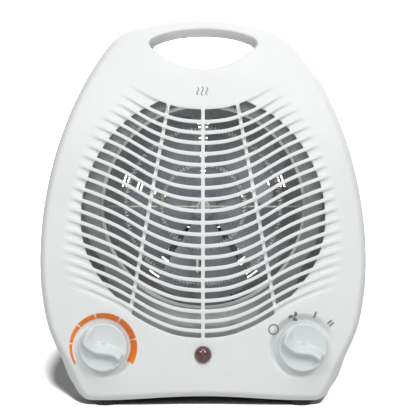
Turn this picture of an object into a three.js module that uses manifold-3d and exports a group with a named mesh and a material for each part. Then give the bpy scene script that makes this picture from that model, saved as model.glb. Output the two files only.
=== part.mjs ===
// Fan convector heater: upright white casing with a carry handle, a curved-bar
// outlet grille, two knobs and a lamp on the front, a heating element, fan and
// motor inside, and a coiled mains cord behind. Millimetres, +Z up, the front
// faces -Y, +X is the right side seen from the front, the floor is z = 0.
import * as THREE from 'three';
import { mergeVertices } from 'three/addons/utils/BufferGeometryUtils.js';
import Module from 'manifold-3d';

const wasm = await Module();
wasm.setup();
const { clamp, smoothstep } = THREE.MathUtils;

// ---------------------------------------------------------------- dimensions
const HEIGHT = 265;             // top of the casing
const SOLE = 3.2;               // casing's lowest edge above the floor
const SOLE_HALF_WIDTH = 74.5;   // half width of the bottom edge
const ARCH = 3.4;               // rise of the bottom edge between the feet
const CORE_Z = 120;             // height the casing's rings shrink towards
const WALL = 2.5;               // casing wall
const SPLIT = 0.15;             // half of the gap at the parting plane
const GRIP_Z = 241;             // mid height of the handle opening
const GRIP_WALL = 2.4;          // wall round the handle opening
const FAN_Z = 134;              // height of the fan axis
const DUCT_R = 69;              // duct inner radius
const DUCT_SHEET = 1;
const DUCT_FRONT = -41;
const DUCT_REAR = 2;
const FLANGE_R = 79;            // duct flange radius
const KNOB_X = 66;
const KNOB_Z = 41;
const KNOB_R = 16.2;
const SEAT_R = 17.4;            // knob seat radius
const SEAT_Y = -48.6;           // knob seat floor
const LAMP_Z = 36;
const LENS_R = 5.3;
const LENS_NECK_R = 4.5;
const BAR_HEIGHT = 2.6;         // grille bars
const RIB_WIDTH = 2.4;          // grille ribs
const SHAFT_R = 2.5;            // motor shaft
const SHAFT_BORE_R = SHAFT_R + 0.3;
const FAN_Y = -7;               // impeller mid plane
const BLADES = 5;
const CORD_R = 3.5;             // mains cord
const EXIT_X = 46;              // where the cord leaves the rear shell
const EXIT_Z = 26;
const CLAMP_X = 25;             // cord clamp screw
const CLAMP_Y = 40;

const SIDES = [-1, 1];          // left, right
// Places on the front view, as [x, z].
const CASE_SCREWS = [[-76, 17], [76, 17], [-96, 112], [96, 112], [-51, 239], [51, 239]];
const DUCT_EARS = [[-88, 146], [88, 146]];
const DUCT_TABS = [[-76, FAN_Z], [76, FAN_Z]];
const MOTOR_SCREWS = [[-18.5, FAN_Z], [18.5, FAN_Z]];
const KNOBS = [[-KNOB_X, KNOB_Z], [KNOB_X, KNOB_Z]];
// Places on the floor plan, as [x, y].
const FEET = [[-66, -27], [66, -27], [-66, 27], [66, 27]];

const FAR = 80;                 // clear of the casing, front or rear
const THROUGH = [-FAR, FAR];
const PANEL_CUT = [-FAR, -40];  // through the front panel only

// Heights of the grille bars at the middle rib, from the top down.
const BARS = [
  190.0, 182.7, 175.8, 168.6, 161.3, 153.9, 146.1, 138.4, 130.8, 123.1,
  115.4, 107.8, 100.2, 92.8, 85.5, 78.6, 71.7, 64.7, 58.1, 51.8,
];
const SLOT_TOP = 201.8;
const SLOT_BOTTOM = 47.2;
// Curve shared by every bar: [distance from the middle, rise].
const BAR_RISE = [
  [0, 0], [11, 0.7], [19, 2.2], [27, 5], [35, 8.6], [43, 13.2], [51, 17.9],
  [59, 22], [67, 25.4], [75, 28.5], [83, 31.2], [91, 33.3],
];
// Stations across the grille at which the bars bend.
const BAR_STATIONS = [-88, -66, -44, -22, 0, 22, 44, 66, 88];
// Right edge of the open grille from the top down: [x, z].
const GRILLE_EDGE = [
  [33.5, 224], [33.5, 203.8], [59.6, 182.7], [74.8, 157.8], [81.1, 130.6],
  [77.1, 103.9], [66.2, 84], [47.8, 64.2], [47.2, 42],
];
// Rib centres: [x at RIB_HIGH_Z, x at RIB_LOW_Z].
const RIBS = [[-22.9, -48.6], [0, 0], [22.9, 48.6]];
const RIB_HIGH_Z = 202.5;
const RIB_LOW_Z = 62.5;
const RIB_OVERRUN = 25;         // rib length past both of those heights

// The two casing halves: depths are [height, depth at the middle].
const FRONT = {
  side: -1,
  depths: [
    [0, 50], [30, 54], [80, 57], [130, 57], [180, 53], [220, 43.5], [245, 32], [265, 21],
  ],
};
const REAR = {
  side: 1,
  depths: [
    [0, 48], [40, 54], [90, 57], [140, 57], [185, 52], [222, 42.5], [246, 31], [265, 21],
  ],
};
// [height, how much shallower the face is at its sides].
const CROWN = [[0, 8], [40, 8], [134, 12], [200, 10], [245, 6], [265, 3]];
// Right half of the handle opening from top middle to bottom middle: [x, z].
const GRIP_EDGE = [
  [0, 253.8], [14, 253], [26, 250.6], [33.4, 248],
  [36.2, 246.2], [36.6, 243.6], [35.2, 241.6],
  [30, 237], [18.6, 230.2], [0, 226],
];

// ---------------------------------------------------------------- materials
const WHITE = { color: 0xe9ebec, roughness: 0.45, metalness: 0 };
const KNOB_WHITE = { color: 0xe2e6e7, roughness: 0.4, metalness: 0 };
const STEEL = { color: 0xa9adb0, roughness: 0.4, metalness: 0.9 };
const ZINC = { color: 0xb6bab8, roughness: 0.45, metalness: 0.85 };
const ALUMINIUM = { color: 0xc2c5c8, roughness: 0.35, metalness: 0.95 };
const BLACK = { color: 0x232425, roughness: 0.6, metalness: 0 };
const MICA = { color: 0xb9a98a, roughness: 0.6, metalness: 0 };
const CREAM = { color: 0xe6e0d2, roughness: 0.6, metalness: 0 };
const BRASS = { color: 0xb89a55, roughness: 0.35, metalness: 0.95 };
const RED_LENS = { color: 0x6e2a2e, roughness: 0.2, metalness: 0 };
const HEATING_WIRE = { color: 0x7d7a76, roughness: 0.35, metalness: 0.9 };
const LAMINATION = { color: 0x6f7376, roughness: 0.5, metalness: 0.8 };
const COPPER = { color: 0x9c5a30, roughness: 0.4, metalness: 0.4 };
const RED_WIRE = { color: 0xa03030, roughness: 0.5, metalness: 0 };
const PALE_WIRE = { color: 0xd8d4c8, roughness: 0.5, metalness: 0 };
const BLUE_WIRE = { color: 0x30609a, roughness: 0.5, metalness: 0 };

// ---------------------------------------------------------------- solid tools
// Welds a geometry, drops collapsed triangles and turns it outward.
function toSolid(geometry) {
  const bare = geometry.clone();
  bare.deleteAttribute('normal');
  bare.deleteAttribute('uv');
  const welded = mergeVertices(bare, 1e-4);
  const pos = welded.attributes.position.array;
  const index = welded.index.array;
  const tri = [];
  for (let i = 0; i < index.length; i += 3) {
    const [a, b, c] = index.slice(i, i + 3);
    if (a !== b && b !== c && a !== c) tri.push(a, b, c);
  }
  let volume = 0;
  for (let i = 0; i < tri.length; i += 3) {
    const [a, b, c] = [tri[i] * 3, tri[i + 1] * 3, tri[i + 2] * 3];
    volume += pos[a] * (pos[b + 1] * pos[c + 2] - pos[b + 2] * pos[c + 1])
      + pos[a + 1] * (pos[b + 2] * pos[c] - pos[b] * pos[c + 2])
      + pos[a + 2] * (pos[b] * pos[c + 1] - pos[b + 1] * pos[c]);
  }
  if (volume < 0) {
    for (let i = 0; i < tri.length; i += 3) [tri[i], tri[i + 1]] = [tri[i + 1], tri[i]];
  }
  return new wasm.Manifold(new wasm.Mesh({
    numProp: 3,
    vertProperties: new Float32Array(pos),
    triVerts: new Uint32Array(tri),
  }));
}

function toGeometry(solid) {
  const mesh = solid.getMesh();
  const geometry = new THREE.BufferGeometry();
  const positions = new Float32Array(mesh.vertProperties);
  geometry.setAttribute('position', new THREE.BufferAttribute(positions, 3));
  geometry.setIndex([...mesh.triVerts]);
  geometry.computeVertexNormals();
  return geometry;
}

const union = (...solids) => solids.reduce((a, b) => a.add(b));
const cut = (solid, ...tools) => tools.reduce((a, b) => a.subtract(b), solid);
const middle = ([low, high]) => (low + high) / 2;
const span = (centre, half) => [centre - half, centre + half];
const reach = (base, start, end) => [base + start, base + end];
const vectors = (points) => points.map(([x, y]) => new THREE.Vector2(x, y));
const mirror = (points) => points.map(([x, z]) => [-x, z]).reverse();

function rodY(radius, ySpan, x, z, sides) {
  const g = new THREE.CylinderGeometry(radius, radius, ySpan[1] - ySpan[0], sides);
  g.translate(x, middle(ySpan), z);
  return toSolid(g);
}
function rodZ(radius, zSpan, x, y, sides) {
  const g = new THREE.CylinderGeometry(radius, radius, zSpan[1] - zSpan[0], sides);
  g.rotateX(Math.PI / 2);
  g.translate(x, y, middle(zSpan));
  return toSolid(g);
}
// Rod along X; the tip radius is at the -X end.
function rodX(radius, xSpan, y, z, tipRadius = radius) {
  const g = new THREE.CylinderGeometry(tipRadius, radius, xSpan[1] - xSpan[0], 10);
  g.rotateZ(Math.PI / 2);
  g.translate(middle(xSpan), y, z);
  return toSolid(g);
}
const rodsAt = (places, radius, ySpan, sides) => (
  places.map(([x, z]) => rodY(radius, ySpan, x, z, sides)));
const onFanAxis = (radius, ySpan, sides) => rodY(radius, ySpan, 0, FAN_Z, sides);

function box(xSpan, ySpan, zSpan) {
  const spans = [xSpan, ySpan, zSpan];
  const g = new THREE.BoxGeometry(...spans.map(([low, high]) => high - low));
  g.translate(...spans.map(middle));
  return toSolid(g);
}
// Prism along Y on an [x, z] outline.
function prism(points, ySpan) {
  const g = new THREE.ExtrudeGeometry(
    new THREE.Shape(vectors(points)),
    { depth: ySpan[1] - ySpan[0], bevelEnabled: false },
  );
  g.rotateX(Math.PI / 2);
  g.translate(0, ySpan[1], 0);
  return toSolid(g);
}
// Body turned about a Y axis, from [radius, y] points.
function lathe(profile, sides, x, y, z) {
  const g = new THREE.LatheGeometry(vectors(profile), sides);
  g.translate(x, y, z);
  return toSolid(g);
}
function arc(radius, centreX, centreY, start, end, steps) {
  return Array.from({ length: steps + 1 }, (_, i) => {
    const angle = start + (end - start) * i / steps;
    return [centreX + radius * Math.cos(angle), centreY + radius * Math.sin(angle)];
  });
}
const circle = (radius, x, z, sides) => (
  arc(radius, x, z, 0, 2 * Math.PI, sides).slice(0, -1));

function centroid(ring) {
  const n = ring.length;
  return ring.reduce((s, v) => [s[0] + v[0] / n, s[1] + v[1] / n, s[2] + v[2] / n], [0, 0, 0]);
}
// Closed body through rings with equal point counts; each end is a fan to its tip.
function loft(rings, firstTip = centroid(rings[0]), lastTip = centroid(rings.at(-1))) {
  const n = rings[0].length;
  const tri = [];
  for (let k = 0; k + 1 < rings.length; k++) {
    for (let i = 0; i < n; i++) {
      const j = (i + 1) % n;
      const [a, b, c, d] = [k * n + i, k * n + j, (k + 1) * n + j, (k + 1) * n + i];
      tri.push(a, b, c, a, c, d);
    }
  }
  const tip = rings.length * n;
  const last = tip - n;
  for (let i = 0; i < n; i++) tri.push(tip, (i + 1) % n, i);
  for (let i = 0; i < n; i++) tri.push(tip + 1, last + i, last + (i + 1) % n);
  const positions = new Float32Array([...rings.flat(), firstTip, lastTip].flat());
  const g = new THREE.BufferGeometry();
  g.setAttribute('position', new THREE.BufferAttribute(positions, 3));
  g.setIndex(tri);
  return toSolid(g);
}
// Round tube along a curve, closed at both ends.
function tube(points, radius, steps, sides) {
  const path = points.map((v) => new THREE.Vector3(...v));
  return toSolid(new THREE.ExtrudeGeometry(
    new THREE.Shape(vectors(circle(radius, 0, 0, sides))),
    {
      steps,
      bevelEnabled: false,
      extrudePath: new THREE.CatmullRomCurve3(path, false, 'centripetal'),
    },
  ));
}
// Smooth cubic through a table of [position, value] rows.
function interpolate(table, position) {
  const last = table.length - 1;
  let i = 0;
  while (i < last - 1 && position > table[i + 1][0]) i++;
  const slope = (k) => {
    const [a, b] = [table[Math.max(k - 1, 0)], table[Math.min(k + 1, last)]];
    return (b[1] - a[1]) / (b[0] - a[0]);
  };
  const [x0, y0] = table[i];
  const [x1, y1] = table[i + 1];
  const h = x1 - x0;
  const t = clamp((position - x0) / h, 0, 1);
  return (2 * t ** 3 - 3 * t ** 2 + 1) * y0 + (t ** 3 - 2 * t ** 2 + t) * h * slope(i)
    + (-2 * t ** 3 + 3 * t ** 2) * y1 + (t ** 3 - t ** 2) * h * slope(i + 1);
}

// ---------------------------------------------------------------- casing form
// Bezier control points of the right half, top middle to bottom edge: [x, z]
// before the bottom is lifted to the sole.
const OUTLINE_CURVES = [
  [[0, 265], [33.4, 265], [55.2, 257.5], [65, 244.4]],
  [[65, 244.4], [80.5, 223.6], [110.5, 168.5], [110.5, 96.5]],
  [[110.5, 96.5], [110.5, 63.4], [101.5, 36.5], [94.9, 17.8]],
  [[94.9, 17.8], [91.9, 9.4], [86.4, 0], [SOLE_HALF_WIDTH, 0]],
];
// Right half of the outline at the parting plane, top middle to bottom middle.
function halfOutline(curveSteps, archSteps) {
  const out = [];
  OUTLINE_CURVES.forEach((controls, k) => {
    const curve = new THREE.CubicBezierCurve(...vectors(controls));
    for (const { x, y } of curve.getPoints(curveSteps[k]).slice(0, -1)) {
      out.push([x, SOLE + y * (HEIGHT - SOLE) / HEIGHT]);
    }
  });
  for (let i = 0; i <= archSteps; i++) {
    const x = SOLE_HALF_WIDTH * (1 - i / archSteps);
    out.push([x, SOLE + ARCH * 0.5 * (1 + Math.cos(Math.PI * x / SOLE_HALF_WIDTH))]);
  }
  return out;
}
const closeOutline = (half) => [...half, ...mirror(half.slice(1, -1))];
const OUTLINE = closeOutline(halfOutline([3, 4, 3, 2], 2));
const FINE_OUTLINE = halfOutline([40, 60, 30, 24], 20);

function halfWidth(z) {
  for (let i = 0; i + 1 < FINE_OUTLINE.length; i++) {
    const [x0, z0] = FINE_OUTLINE[i];
    const [x1, z1] = FINE_OUTLINE[i + 1];
    if (z <= z0 && z >= z1 && z0 > z1) return x0 + (x1 - x0) * (z0 - z) / (z0 - z1);
  }
  return z > 200 ? 1 : 90;      // above or below the outline
}
// Unit normals of an outline, pointing away from the point x = 0, z = centreZ.
function outwardNormals(points, centreZ) {
  const n = points.length;
  return points.map(([x, z], i) => {
    const [a, b] = [points[(i + n - 1) % n], points[(i + 1) % n]];
    const [dx, dz] = [b[0] - a[0], b[1] - a[1]];
    const length = Math.hypot(dx, dz);
    const [nx, nz] = [-dz / length, dx / length];
    const sign = nx * x + nz * (z - centreZ) > 0 ? 1 : -1;
    return [nx * sign, nz * sign];
  });
}
const NORMALS = outwardNormals(OUTLINE, CORE_Z);

// y of a crowned face, deepest at the middle, moved inward by a setback.
function faceY(half, x, z, setback = 0) {
  const height = clamp(z, 0, HEIGHT);
  const across = Math.min(Math.abs(x) / Math.max(halfWidth(z), 12), 1);
  const depth = interpolate(half.depths, height) - interpolate(CROWN, height) * across ** 2.4;
  return half.side * (depth - setback);
}
// Ring of the casing: a share of the side wall's draft, then an even inset. The
// draft is greatest at the lower sides.
function casingRing(half, draftShare, inset, setback) {
  return OUTLINE.map(([x, z], i) => {
    const [nx, nz] = NORMALS[i];
    const sideDraft = 1.8 + 6.0 * smoothstep(58 - z, 0, 42);
    const endDraft = nz < 0 ? 1.2 : 1.8;
    const px = x - nx * sideDraft * draftShare - nx * inset;
    const pz = z - nz * endDraft * draftShare - nz * inset;
    return [px, faceY(half, px, pz, setback), pz];
  });
}
// One casing half as a full body; with a wall it is the hollow, which runs past
// the parting plane.
function casing(half, wall) {
  const rimY = half.side * (wall > 0 ? -3 : SPLIT);
  const rim = casingRing(half, 0, wall, 0).map(([x, , z]) => [x, rimY, z]);
  const faceEdge = casingRing(half, 1, 4.6 + wall, wall);
  const dome = faceEdge.map(([x, , z]) => {
    const [px, pz] = [x * 0.6, CORE_Z + (z - CORE_Z) * 0.6];
    return [px, faceY(half, px, pz, wall), pz];
  });
  const rings = [
    rim,
    casingRing(half, 0.8, wall, wall + 8),
    casingRing(half, 1, 1.3 + wall, wall + 2.6),
    faceEdge,
    dome,
  ];
  return loft(rings, [0, rimY, CORE_Z], [0, faceY(half, 0, CORE_Z, wall), CORE_Z]);
}
// Handle opening, grown by a margin.
function gripOpening(margin) {
  const points = closeOutline(GRIP_EDGE);
  const out = outwardNormals(points, GRIP_Z);
  const grown = points.map(([x, z], i) => [x + out[i][0] * margin, z + out[i][1] * margin]);
  return prism(grown, THROUGH);
}
// Casing half: bosses stay solid inside it, holes are cut last.
function shell(half, bosses, holes) {
  const hollow = cut(casing(half, WALL), gripOpening(GRIP_WALL), ...bosses);
  const footSockets = FEET.filter(([, y]) => y * half.side > 0)
    .map(([x, y]) => rodZ(3.3, [-2, 12], x, y, 12));
  return cut(casing(half, 0), hollow, gripOpening(0), ...holes, ...footSockets);
}

// ---------------------------------------------------------------- front shell
// Gaps between the bars, within the grille's edge and less the ribs.
function grilleCutter() {
  const gaps = [];
  const bend = (z) => BAR_STATIONS.map((x) => [x, z + interpolate(BAR_RISE, Math.abs(x))]);
  for (let k = 0; k <= BARS.length; k++) {
    const top = k === 0 ? SLOT_TOP : BARS[k - 1] - BAR_HEIGHT / 2;
    const low = k === BARS.length ? SLOT_BOTTOM : BARS[k] + BAR_HEIGHT / 2;
    gaps.push(prism([...bend(top), ...bend(low).reverse()], [-70, -30]));
  }
  const opening = prism([...GRILLE_EDGE, ...mirror(GRILLE_EDGE)], [-69, -31]);
  const ribs = RIBS.map(([highX, lowX]) => {
    const overrunX = (highX - lowX) / (RIB_HIGH_Z - RIB_LOW_Z) * RIB_OVERRUN;
    const [x0, x1] = span(lowX - overrunX, RIB_WIDTH / 2);
    const [x2, x3] = span(highX + overrunX, RIB_WIDTH / 2);
    const [low, high] = [RIB_LOW_Z - RIB_OVERRUN, RIB_HIGH_Z + RIB_OVERRUN];
    return prism([[x0, low], [x1, low], [x3, high], [x2, high]], [-72, -28]);
  });
  return cut(union(...gaps).intersect(opening), ...ribs);
}
function frontShell() {
  const bosses = [
    ...rodsAt(CASE_SCREWS, 4, [-FAR, -SPLIT], 10),
    ...rodsAt(DUCT_EARS, 3.6, [-FAR, DUCT_FRONT - 0.3], 10),
    ...rodsAt(KNOBS, 20, [-FAR, SEAT_Y + WALL], 24),
    rodY(8, [-FAR, -49.5], 0, LAMP_Z, 14),
  ];
  return shell(FRONT, bosses, [
    grilleCutter(),
    ...rodsAt(KNOBS, SEAT_R, [-FAR, SEAT_Y], 28),
    ...rodsAt(KNOBS, 5, PANEL_CUT, 16),
    rodY(4.8, PANEL_CUT, 0, LAMP_Z, 14),
    ...rodsAt(CASE_SCREWS, 1.9, [-17, 2], 8),
    ...rodsAt(DUCT_EARS, 1.6, [-46.2, -30], 8),
  ]);
}

// ---------------------------------------------------------------- rear shell
// Rings of arc slots round the fan axis, from the inside out: [slots, arc steps].
const INTAKE_RINGS = [[3, 4], [3, 4], [6, 2], [6, 2], [6, 3]];
const INTAKE_R = 17;            // middle of the first ring
const INTAKE_PITCH = 10.5;
const INTAKE_SLOT = 4.6;        // slot width
const INTAKE_BRIDGE = 3.2;      // material between slot ends

function intakeCutter() {
  const slots = INTAKE_RINGS.flatMap(([count, steps], k) => {
    const [inner, outer] = span(INTAKE_R + INTAKE_PITCH * k, INTAKE_SLOT / 2);
    const innerTrim = INTAKE_BRIDGE / 2 / inner;
    const outerTrim = INTAKE_BRIDGE / 2 / outer;
    return Array.from({ length: count }, (_, i) => {
      const start = (2 * Math.PI * i) / count + Math.PI / 6;
      const end = start + (2 * Math.PI) / count;
      return prism([
        ...arc(outer, 0, FAN_Z, start + outerTrim, end - outerTrim, steps),
        ...arc(inner, 0, FAN_Z, end - innerTrim, start + innerTrim, steps),
      ], [30, 70]);
    });
  });
  return union(...slots);
}
function rearShell() {
  const bosses = [
    ...rodsAt(CASE_SCREWS, 4.6, [SPLIT, FAR], 10),
    box(span(CLAMP_X, 7), [30, 60], [8, 24]),
  ];
  return shell(REAR, bosses, [
    intakeCutter(),
    ...rodsAt(CASE_SCREWS, 2.1, [-2, 30], 8),
    ...rodsAt(CASE_SCREWS, 3.4, [9, FAR], 12),
    rodY(5.4, [20, 70], EXIT_X, EXIT_Z, 14),
    rodZ(1.4, [12, 30], CLAMP_X, CLAMP_Y, 8),
  ]);
}

// ---------------------------------------------------------------- fasteners
// Case screw: driven from the rear, with a slotted head in a deep counterbore.
function caseScrew(x, z) {
  const slot = box(span(x, 0.4), [10.9, 12], span(z, 2.2));
  return union(rodY(1.6, [-13, 9.5], x, z, 8), cut(rodY(3, [9.2, 11.7], x, z, 12), slot));
}
// Plain screw along Y; shank and head are { radius, ySpan, sides }.
const plainScrew = (shank, head) => (x, z) => (
  union(...[shank, head].map((s) => rodY(s.radius, s.ySpan, x, z, s.sides))));

const ductScrew = plainScrew(
  { radius: 1.3, ySpan: reach(DUCT_FRONT, -4.4, 1.6), sides: 8 },
  { radius: 3, ySpan: reach(DUCT_FRONT, 1.3, 3.2), sides: 10 },
);
const bracketScrew = plainScrew(
  { radius: 1.6, ySpan: reach(DUCT_REAR, -5, 2.3), sides: 8 },
  { radius: 3, ySpan: reach(DUCT_REAR, 2.1, 4.2), sides: 10 },
);
const motorScrew = plainScrew(
  { radius: 1.8, ySpan: [1.8, 24.6], sides: 10 },
  { radius: 3.6, ySpan: [24.4, 27], sides: 12 },
);
function hexNut(radius, bore, ySpan, x, z) {
  return cut(prism(circle(radius, x, z, 6), ySpan), rodY(bore, THROUGH, x, z, 16));
}
// Rubber foot with a plug through the casing's floor.
const rubberFoot = (x, y) => union(rodZ(6.5, [0, 3.1], x, y, 20), rodZ(2.9, [2.6, 9.2], x, y, 12));

// ---------------------------------------------------------------- controls
// Centre line of the knob's finger ridge: [x, z, width of its upper side]; its
// lower side is half as wide.
const RIDGE_LINE = [
  [-13.4, 9.2, 3.2], [-11.4, 5.4, 4.2], [-8.6, 1.4, 4.2],
  [-4.6, -1.2, 3.6], [0.4, -1.8, 3.2], [5.2, -2.4, 3],
  [9, -4.8, 2.6], [12.2, -7.8, 1.8], [14.2, -10, 0.8],
];
// Knob disc from its underside at y = 0 forward: [radius, y].
const KNOB_PROFILE = [
  [0, 0], [KNOB_R - 0.6, 0], [KNOB_R, -0.6], [KNOB_R, -4.6],
  [KNOB_R - 0.9, -6], [KNOB_R - 2.6, -6.8], [0, -6.8],
];
function knob(knobX) {
  const underside = SEAT_Y - 0.4;
  const rod = (radius, start, end, sides) => (
    rodY(radius, reach(underside, start, end), knobX, KNOB_Z, sides));
  const upper = [];
  const lower = [];
  RIDGE_LINE.forEach(([x, z, width], i) => {
    const a = RIDGE_LINE[Math.max(i - 1, 0)];
    const b = RIDGE_LINE[Math.min(i + 1, RIDGE_LINE.length - 1)];
    const [dx, dz] = [b[0] - a[0], b[1] - a[1]];
    const length = Math.hypot(dx, dz);
    const [ox, oz] = [-dz / length * width, dx / length * width];
    upper.push([knobX + x + ox, KNOB_Z + z + oz]);
    lower.push([knobX + x - ox * 0.5, KNOB_Z + z - oz * 0.5]);
  });
  const ridge = prism([...upper, ...lower.reverse()], reach(underside, -14.6, -5))
    .intersect(rod(KNOB_R - 0.6, -20, 0, 20));
  const disc = lathe(KNOB_PROFILE, 20, knobX, underside, KNOB_Z).add(ridge);
  const hub = rod(5.2, -5, -3.6, 8);
  return cut(cut(disc, rod(12.4, -4.4, 1, 14)).add(hub), rod(3.4, -10.4, 1, 10));
}

// Parts behind a knob are placed from the seat floor, on the knob's axis.
const fromSeat = (start, end) => reach(SEAT_Y, start, end);
const seatRod = (knobX, radius, start, end, sides) => (
  rodY(radius, fromSeat(start, end), knobX, KNOB_Z, sides));
const spindleFlat = (knobX) => (
  box(reach(knobX, 1.6, 4), fromSeat(-11, -4), span(KNOB_Z, 4)));
const panelNut = (knobX) => hexNut(7.4, 5, fromSeat(-2.7, -0.3), knobX, KNOB_Z);
const THERMOSTAT_X = -KNOB_X;
const SELECTOR_X = KNOB_X;
const SPINDLE_R = 3;
const SPINDLE_BORE_R = 3.12;
const NECK_R = 4.7;             // necks through the panel

const thermostatSpindle = () => cut(
  seatRod(THERMOSTAT_X, SPINDLE_R, -10.4, 13, 12),
  spindleFlat(THERMOSTAT_X),
);
const thermostatBody = () => cut(
  union(
    box(span(THERMOSTAT_X, 13), fromSeat(2.8, 14), span(KNOB_Z, 8)),
    seatRod(THERMOSTAT_X, NECK_R, -3, 3, 16),
    box(reach(THERMOSTAT_X, -11, -7), fromSeat(14, 17), span(KNOB_Z, 4)),
  ),
  seatRod(THERMOSTAT_X, SPINDLE_BORE_R, -5, 20, 12),
);
const thermostatBimetal = () => union(
  box(reach(THERMOSTAT_X, -11, 12), fromSeat(17.3, 18), span(KNOB_Z, 3.5)),
  seatRod(THERMOSTAT_X + 9.5, 2, 16, 17.5, 10),
);
const selectorSpindle = () => cut(
  union(
    seatRod(SELECTOR_X, SPINDLE_R, -10.4, 8, 12),
    seatRod(SELECTOR_X, 7.5, 6, 9, 16),
  ),
  spindleFlat(SELECTOR_X),
);
const selectorBody = () => cut(
  union(
    box(span(SELECTOR_X, 14.5), fromSeat(2.8, 19), span(KNOB_Z, 14.5)),
    seatRod(SELECTOR_X, NECK_R, -3, 3, 16),
  ),
  seatRod(SELECTOR_X, SPINDLE_BORE_R, -5, 7, 12),
  seatRod(SELECTOR_X, 8, 5.6, 16, 16),
  seatRod(SELECTOR_X, 2.4, 14, 22, 8),
);

// Indicator lamp: a domed lens through the panel, with its body behind.
const LAMP_Y = faceY(FRONT, 0, LAMP_Z);
// From the dome's tip out, then back along the neck: [radius, y].
const LENS_PROFILE = [
  [0, -3.4], [1.9, -3.1], [3.5, -2.2], [4.7, -0.9], [LENS_R, -0.35], [LENS_R, -0.3],
  [LENS_NECK_R, -0.3], [LENS_NECK_R, 7.4], [3.4, 7.4], [3.4, 0.6], [0, 0.6],
];
const lampRod = (radius, start, end, sides) => (
  rodY(radius, reach(LAMP_Y, start, end), 0, LAMP_Z, sides));

// ---------------------------------------------------------------- air duct
// Apron below the duct opening: [x, z].
const APRON = [[-66, 98], [66, 98], [54, 63], [42, 44], [-42, 44], [-54, 63]];

// Rolled sheet ring with a front flange, a lower apron, two ears and two rear
// tabs for the motor bracket.
function airDuct() {
  const sheetY = reach(DUCT_FRONT, 0, DUCT_SHEET);
  const bore = onFanAxis(DUCT_R, THROUGH, 36);
  const barrel = onFanAxis(DUCT_R + DUCT_SHEET, [DUCT_FRONT, DUCT_REAR], 36);
  const flange = union(
    onFanAxis(FLANGE_R, sheetY, 36),
    prism(APRON, sheetY),
    box(span(0, 93), sheetY, span(DUCT_EARS[0][1], 6)),
  );
  const tabY = [DUCT_REAR - DUCT_SHEET, DUCT_REAR];
  const tabs = SIDES.map((side) => box(span(side * 75.2, 5.8), tabY, span(FAN_Z, 8)));
  return cut(
    union(cut(barrel, bore), cut(flange, bore), ...tabs),
    ...rodsAt(DUCT_EARS, 1.9, reach(DUCT_FRONT, -1, 2), 8),
    ...rodsAt(DUCT_TABS, 1.9, reach(DUCT_REAR, -2, 1), 8),
  );
}

// ---------------------------------------------------------------- heating element
// Two half-lapped mica boards with notches that carry the coils.
const COIL_Y = -33;
const COIL_R = 2.6;
const COILS = [
  { name: 'heating_coil_inner', radius: 28, segments: 18 },
  { name: 'heating_coil_outer', radius: 52, segments: 26 },
];
const NOTCH = 3.4;              // half width of a notch, and its depth past COIL_Y

function micaBoard(vertical) {
  const strip = (along, ySpan) => (vertical
    ? box(span(0, 0.5), ySpan, reach(FAN_Z, ...along))
    : box(along, ySpan, span(FAN_Z, 0.5)));
  const lap = vertical
    ? box(span(0, 2), [-40, -26.8], span(FAN_Z, 0.8))
    : box(span(0, 0.8), [-27.1, -10], span(FAN_Z, 2));
  const notches = COILS.flatMap(({ radius }) => (
    SIDES.map((side) => strip(span(side * radius, NOTCH), [-40, COIL_Y + NOTCH]))));
  return cut(strip(span(0, DUCT_R - 1.5), [-36, -20.5]), lap, ...notches);
}
function heatingCoil({ radius, segments }) {
  const g = new THREE.TorusGeometry(radius, COIL_R, 5, segments);
  g.rotateX(Math.PI / 2);
  g.translate(0, COIL_Y, FAN_Z);
  return toSolid(g);
}
// Disc above the horizontal board, with a lug down towards it.
const thermalCutout = () => union(
  rodY(7.5, [-29, -22], 40, FAN_Z + 8.6, 16),
  box(span(40, 4), [-27, -25.5], reach(FAN_Z, 0.8, 8)),
);
// Upright capsule left of the vertical board.
function thermalFuse() {
  const g = new THREE.CapsuleGeometry(2, 9, 3, 8);
  g.rotateX(Math.PI / 2);
  g.translate(-3.4, -22.5, FAN_Z - 40);
  return toSolid(g);
}

// ---------------------------------------------------------------- motor and fan
function motorBracket() {
  const sheetY = reach(DUCT_REAR, 0.3, 1.8);
  return cut(
    union(
      box(span(0, 81), sheetY, span(FAN_Z, 7)),
      onFanAxis(12, sheetY, 20),
      ...rodsAt(MOTOR_SCREWS, 4, reach(DUCT_REAR, 1, 3.7), 12),
    ),
    ...rodsAt(MOTOR_SCREWS, 2.2, THROUGH, 10),
    ...rodsAt(DUCT_TABS, 1.9, THROUGH, 8),
    onFanAxis(6, THROUGH, 16),
  );
}
function bearingPlate(y) {
  const sheetY = reach(y, 0, 1.5);
  return cut(
    union(box(span(0, 23), sheetY, span(FAN_Z, 6)), onFanAxis(9, sheetY, 20)),
    onFanAxis(3.8, THROUGH, 16),
    ...rodsAt(MOTOR_SCREWS, 2.2, THROUGH, 10),
  );
}
const bearingBush = (y) => cut(
  onFanAxis(3.5, reach(y, 0, 3.6), 16),
  onFanAxis(SHAFT_R + 0.09, THROUGH, 24),
);
const motorStator = () => cut(
  box(span(0, 24), [8, 22], reach(FAN_Z, -39, 17)),
  onFanAxis(10.3, THROUGH, 24),
  box(span(0, 13), [5, 25], reach(FAN_Z, -27, -14)),
  ...rodsAt(MOTOR_SCREWS, 2.2, THROUGH, 10),
);
// Coil round the stator's lower limb.
const motorCoil = () => cut(
  box(span(0, 12.4), [2.3, 27.7], reach(FAN_Z, -45, -14.6)),
  box(span(0, 14), [7.6, 22.4], reach(FAN_Z, -39.4, -26.6)),
);
const motorRotor = () => cut(
  onFanAxis(9.8, [9.5, 20.8], 24),
  onFanAxis(SHAFT_BORE_R, THROUGH, 16),
);

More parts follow.
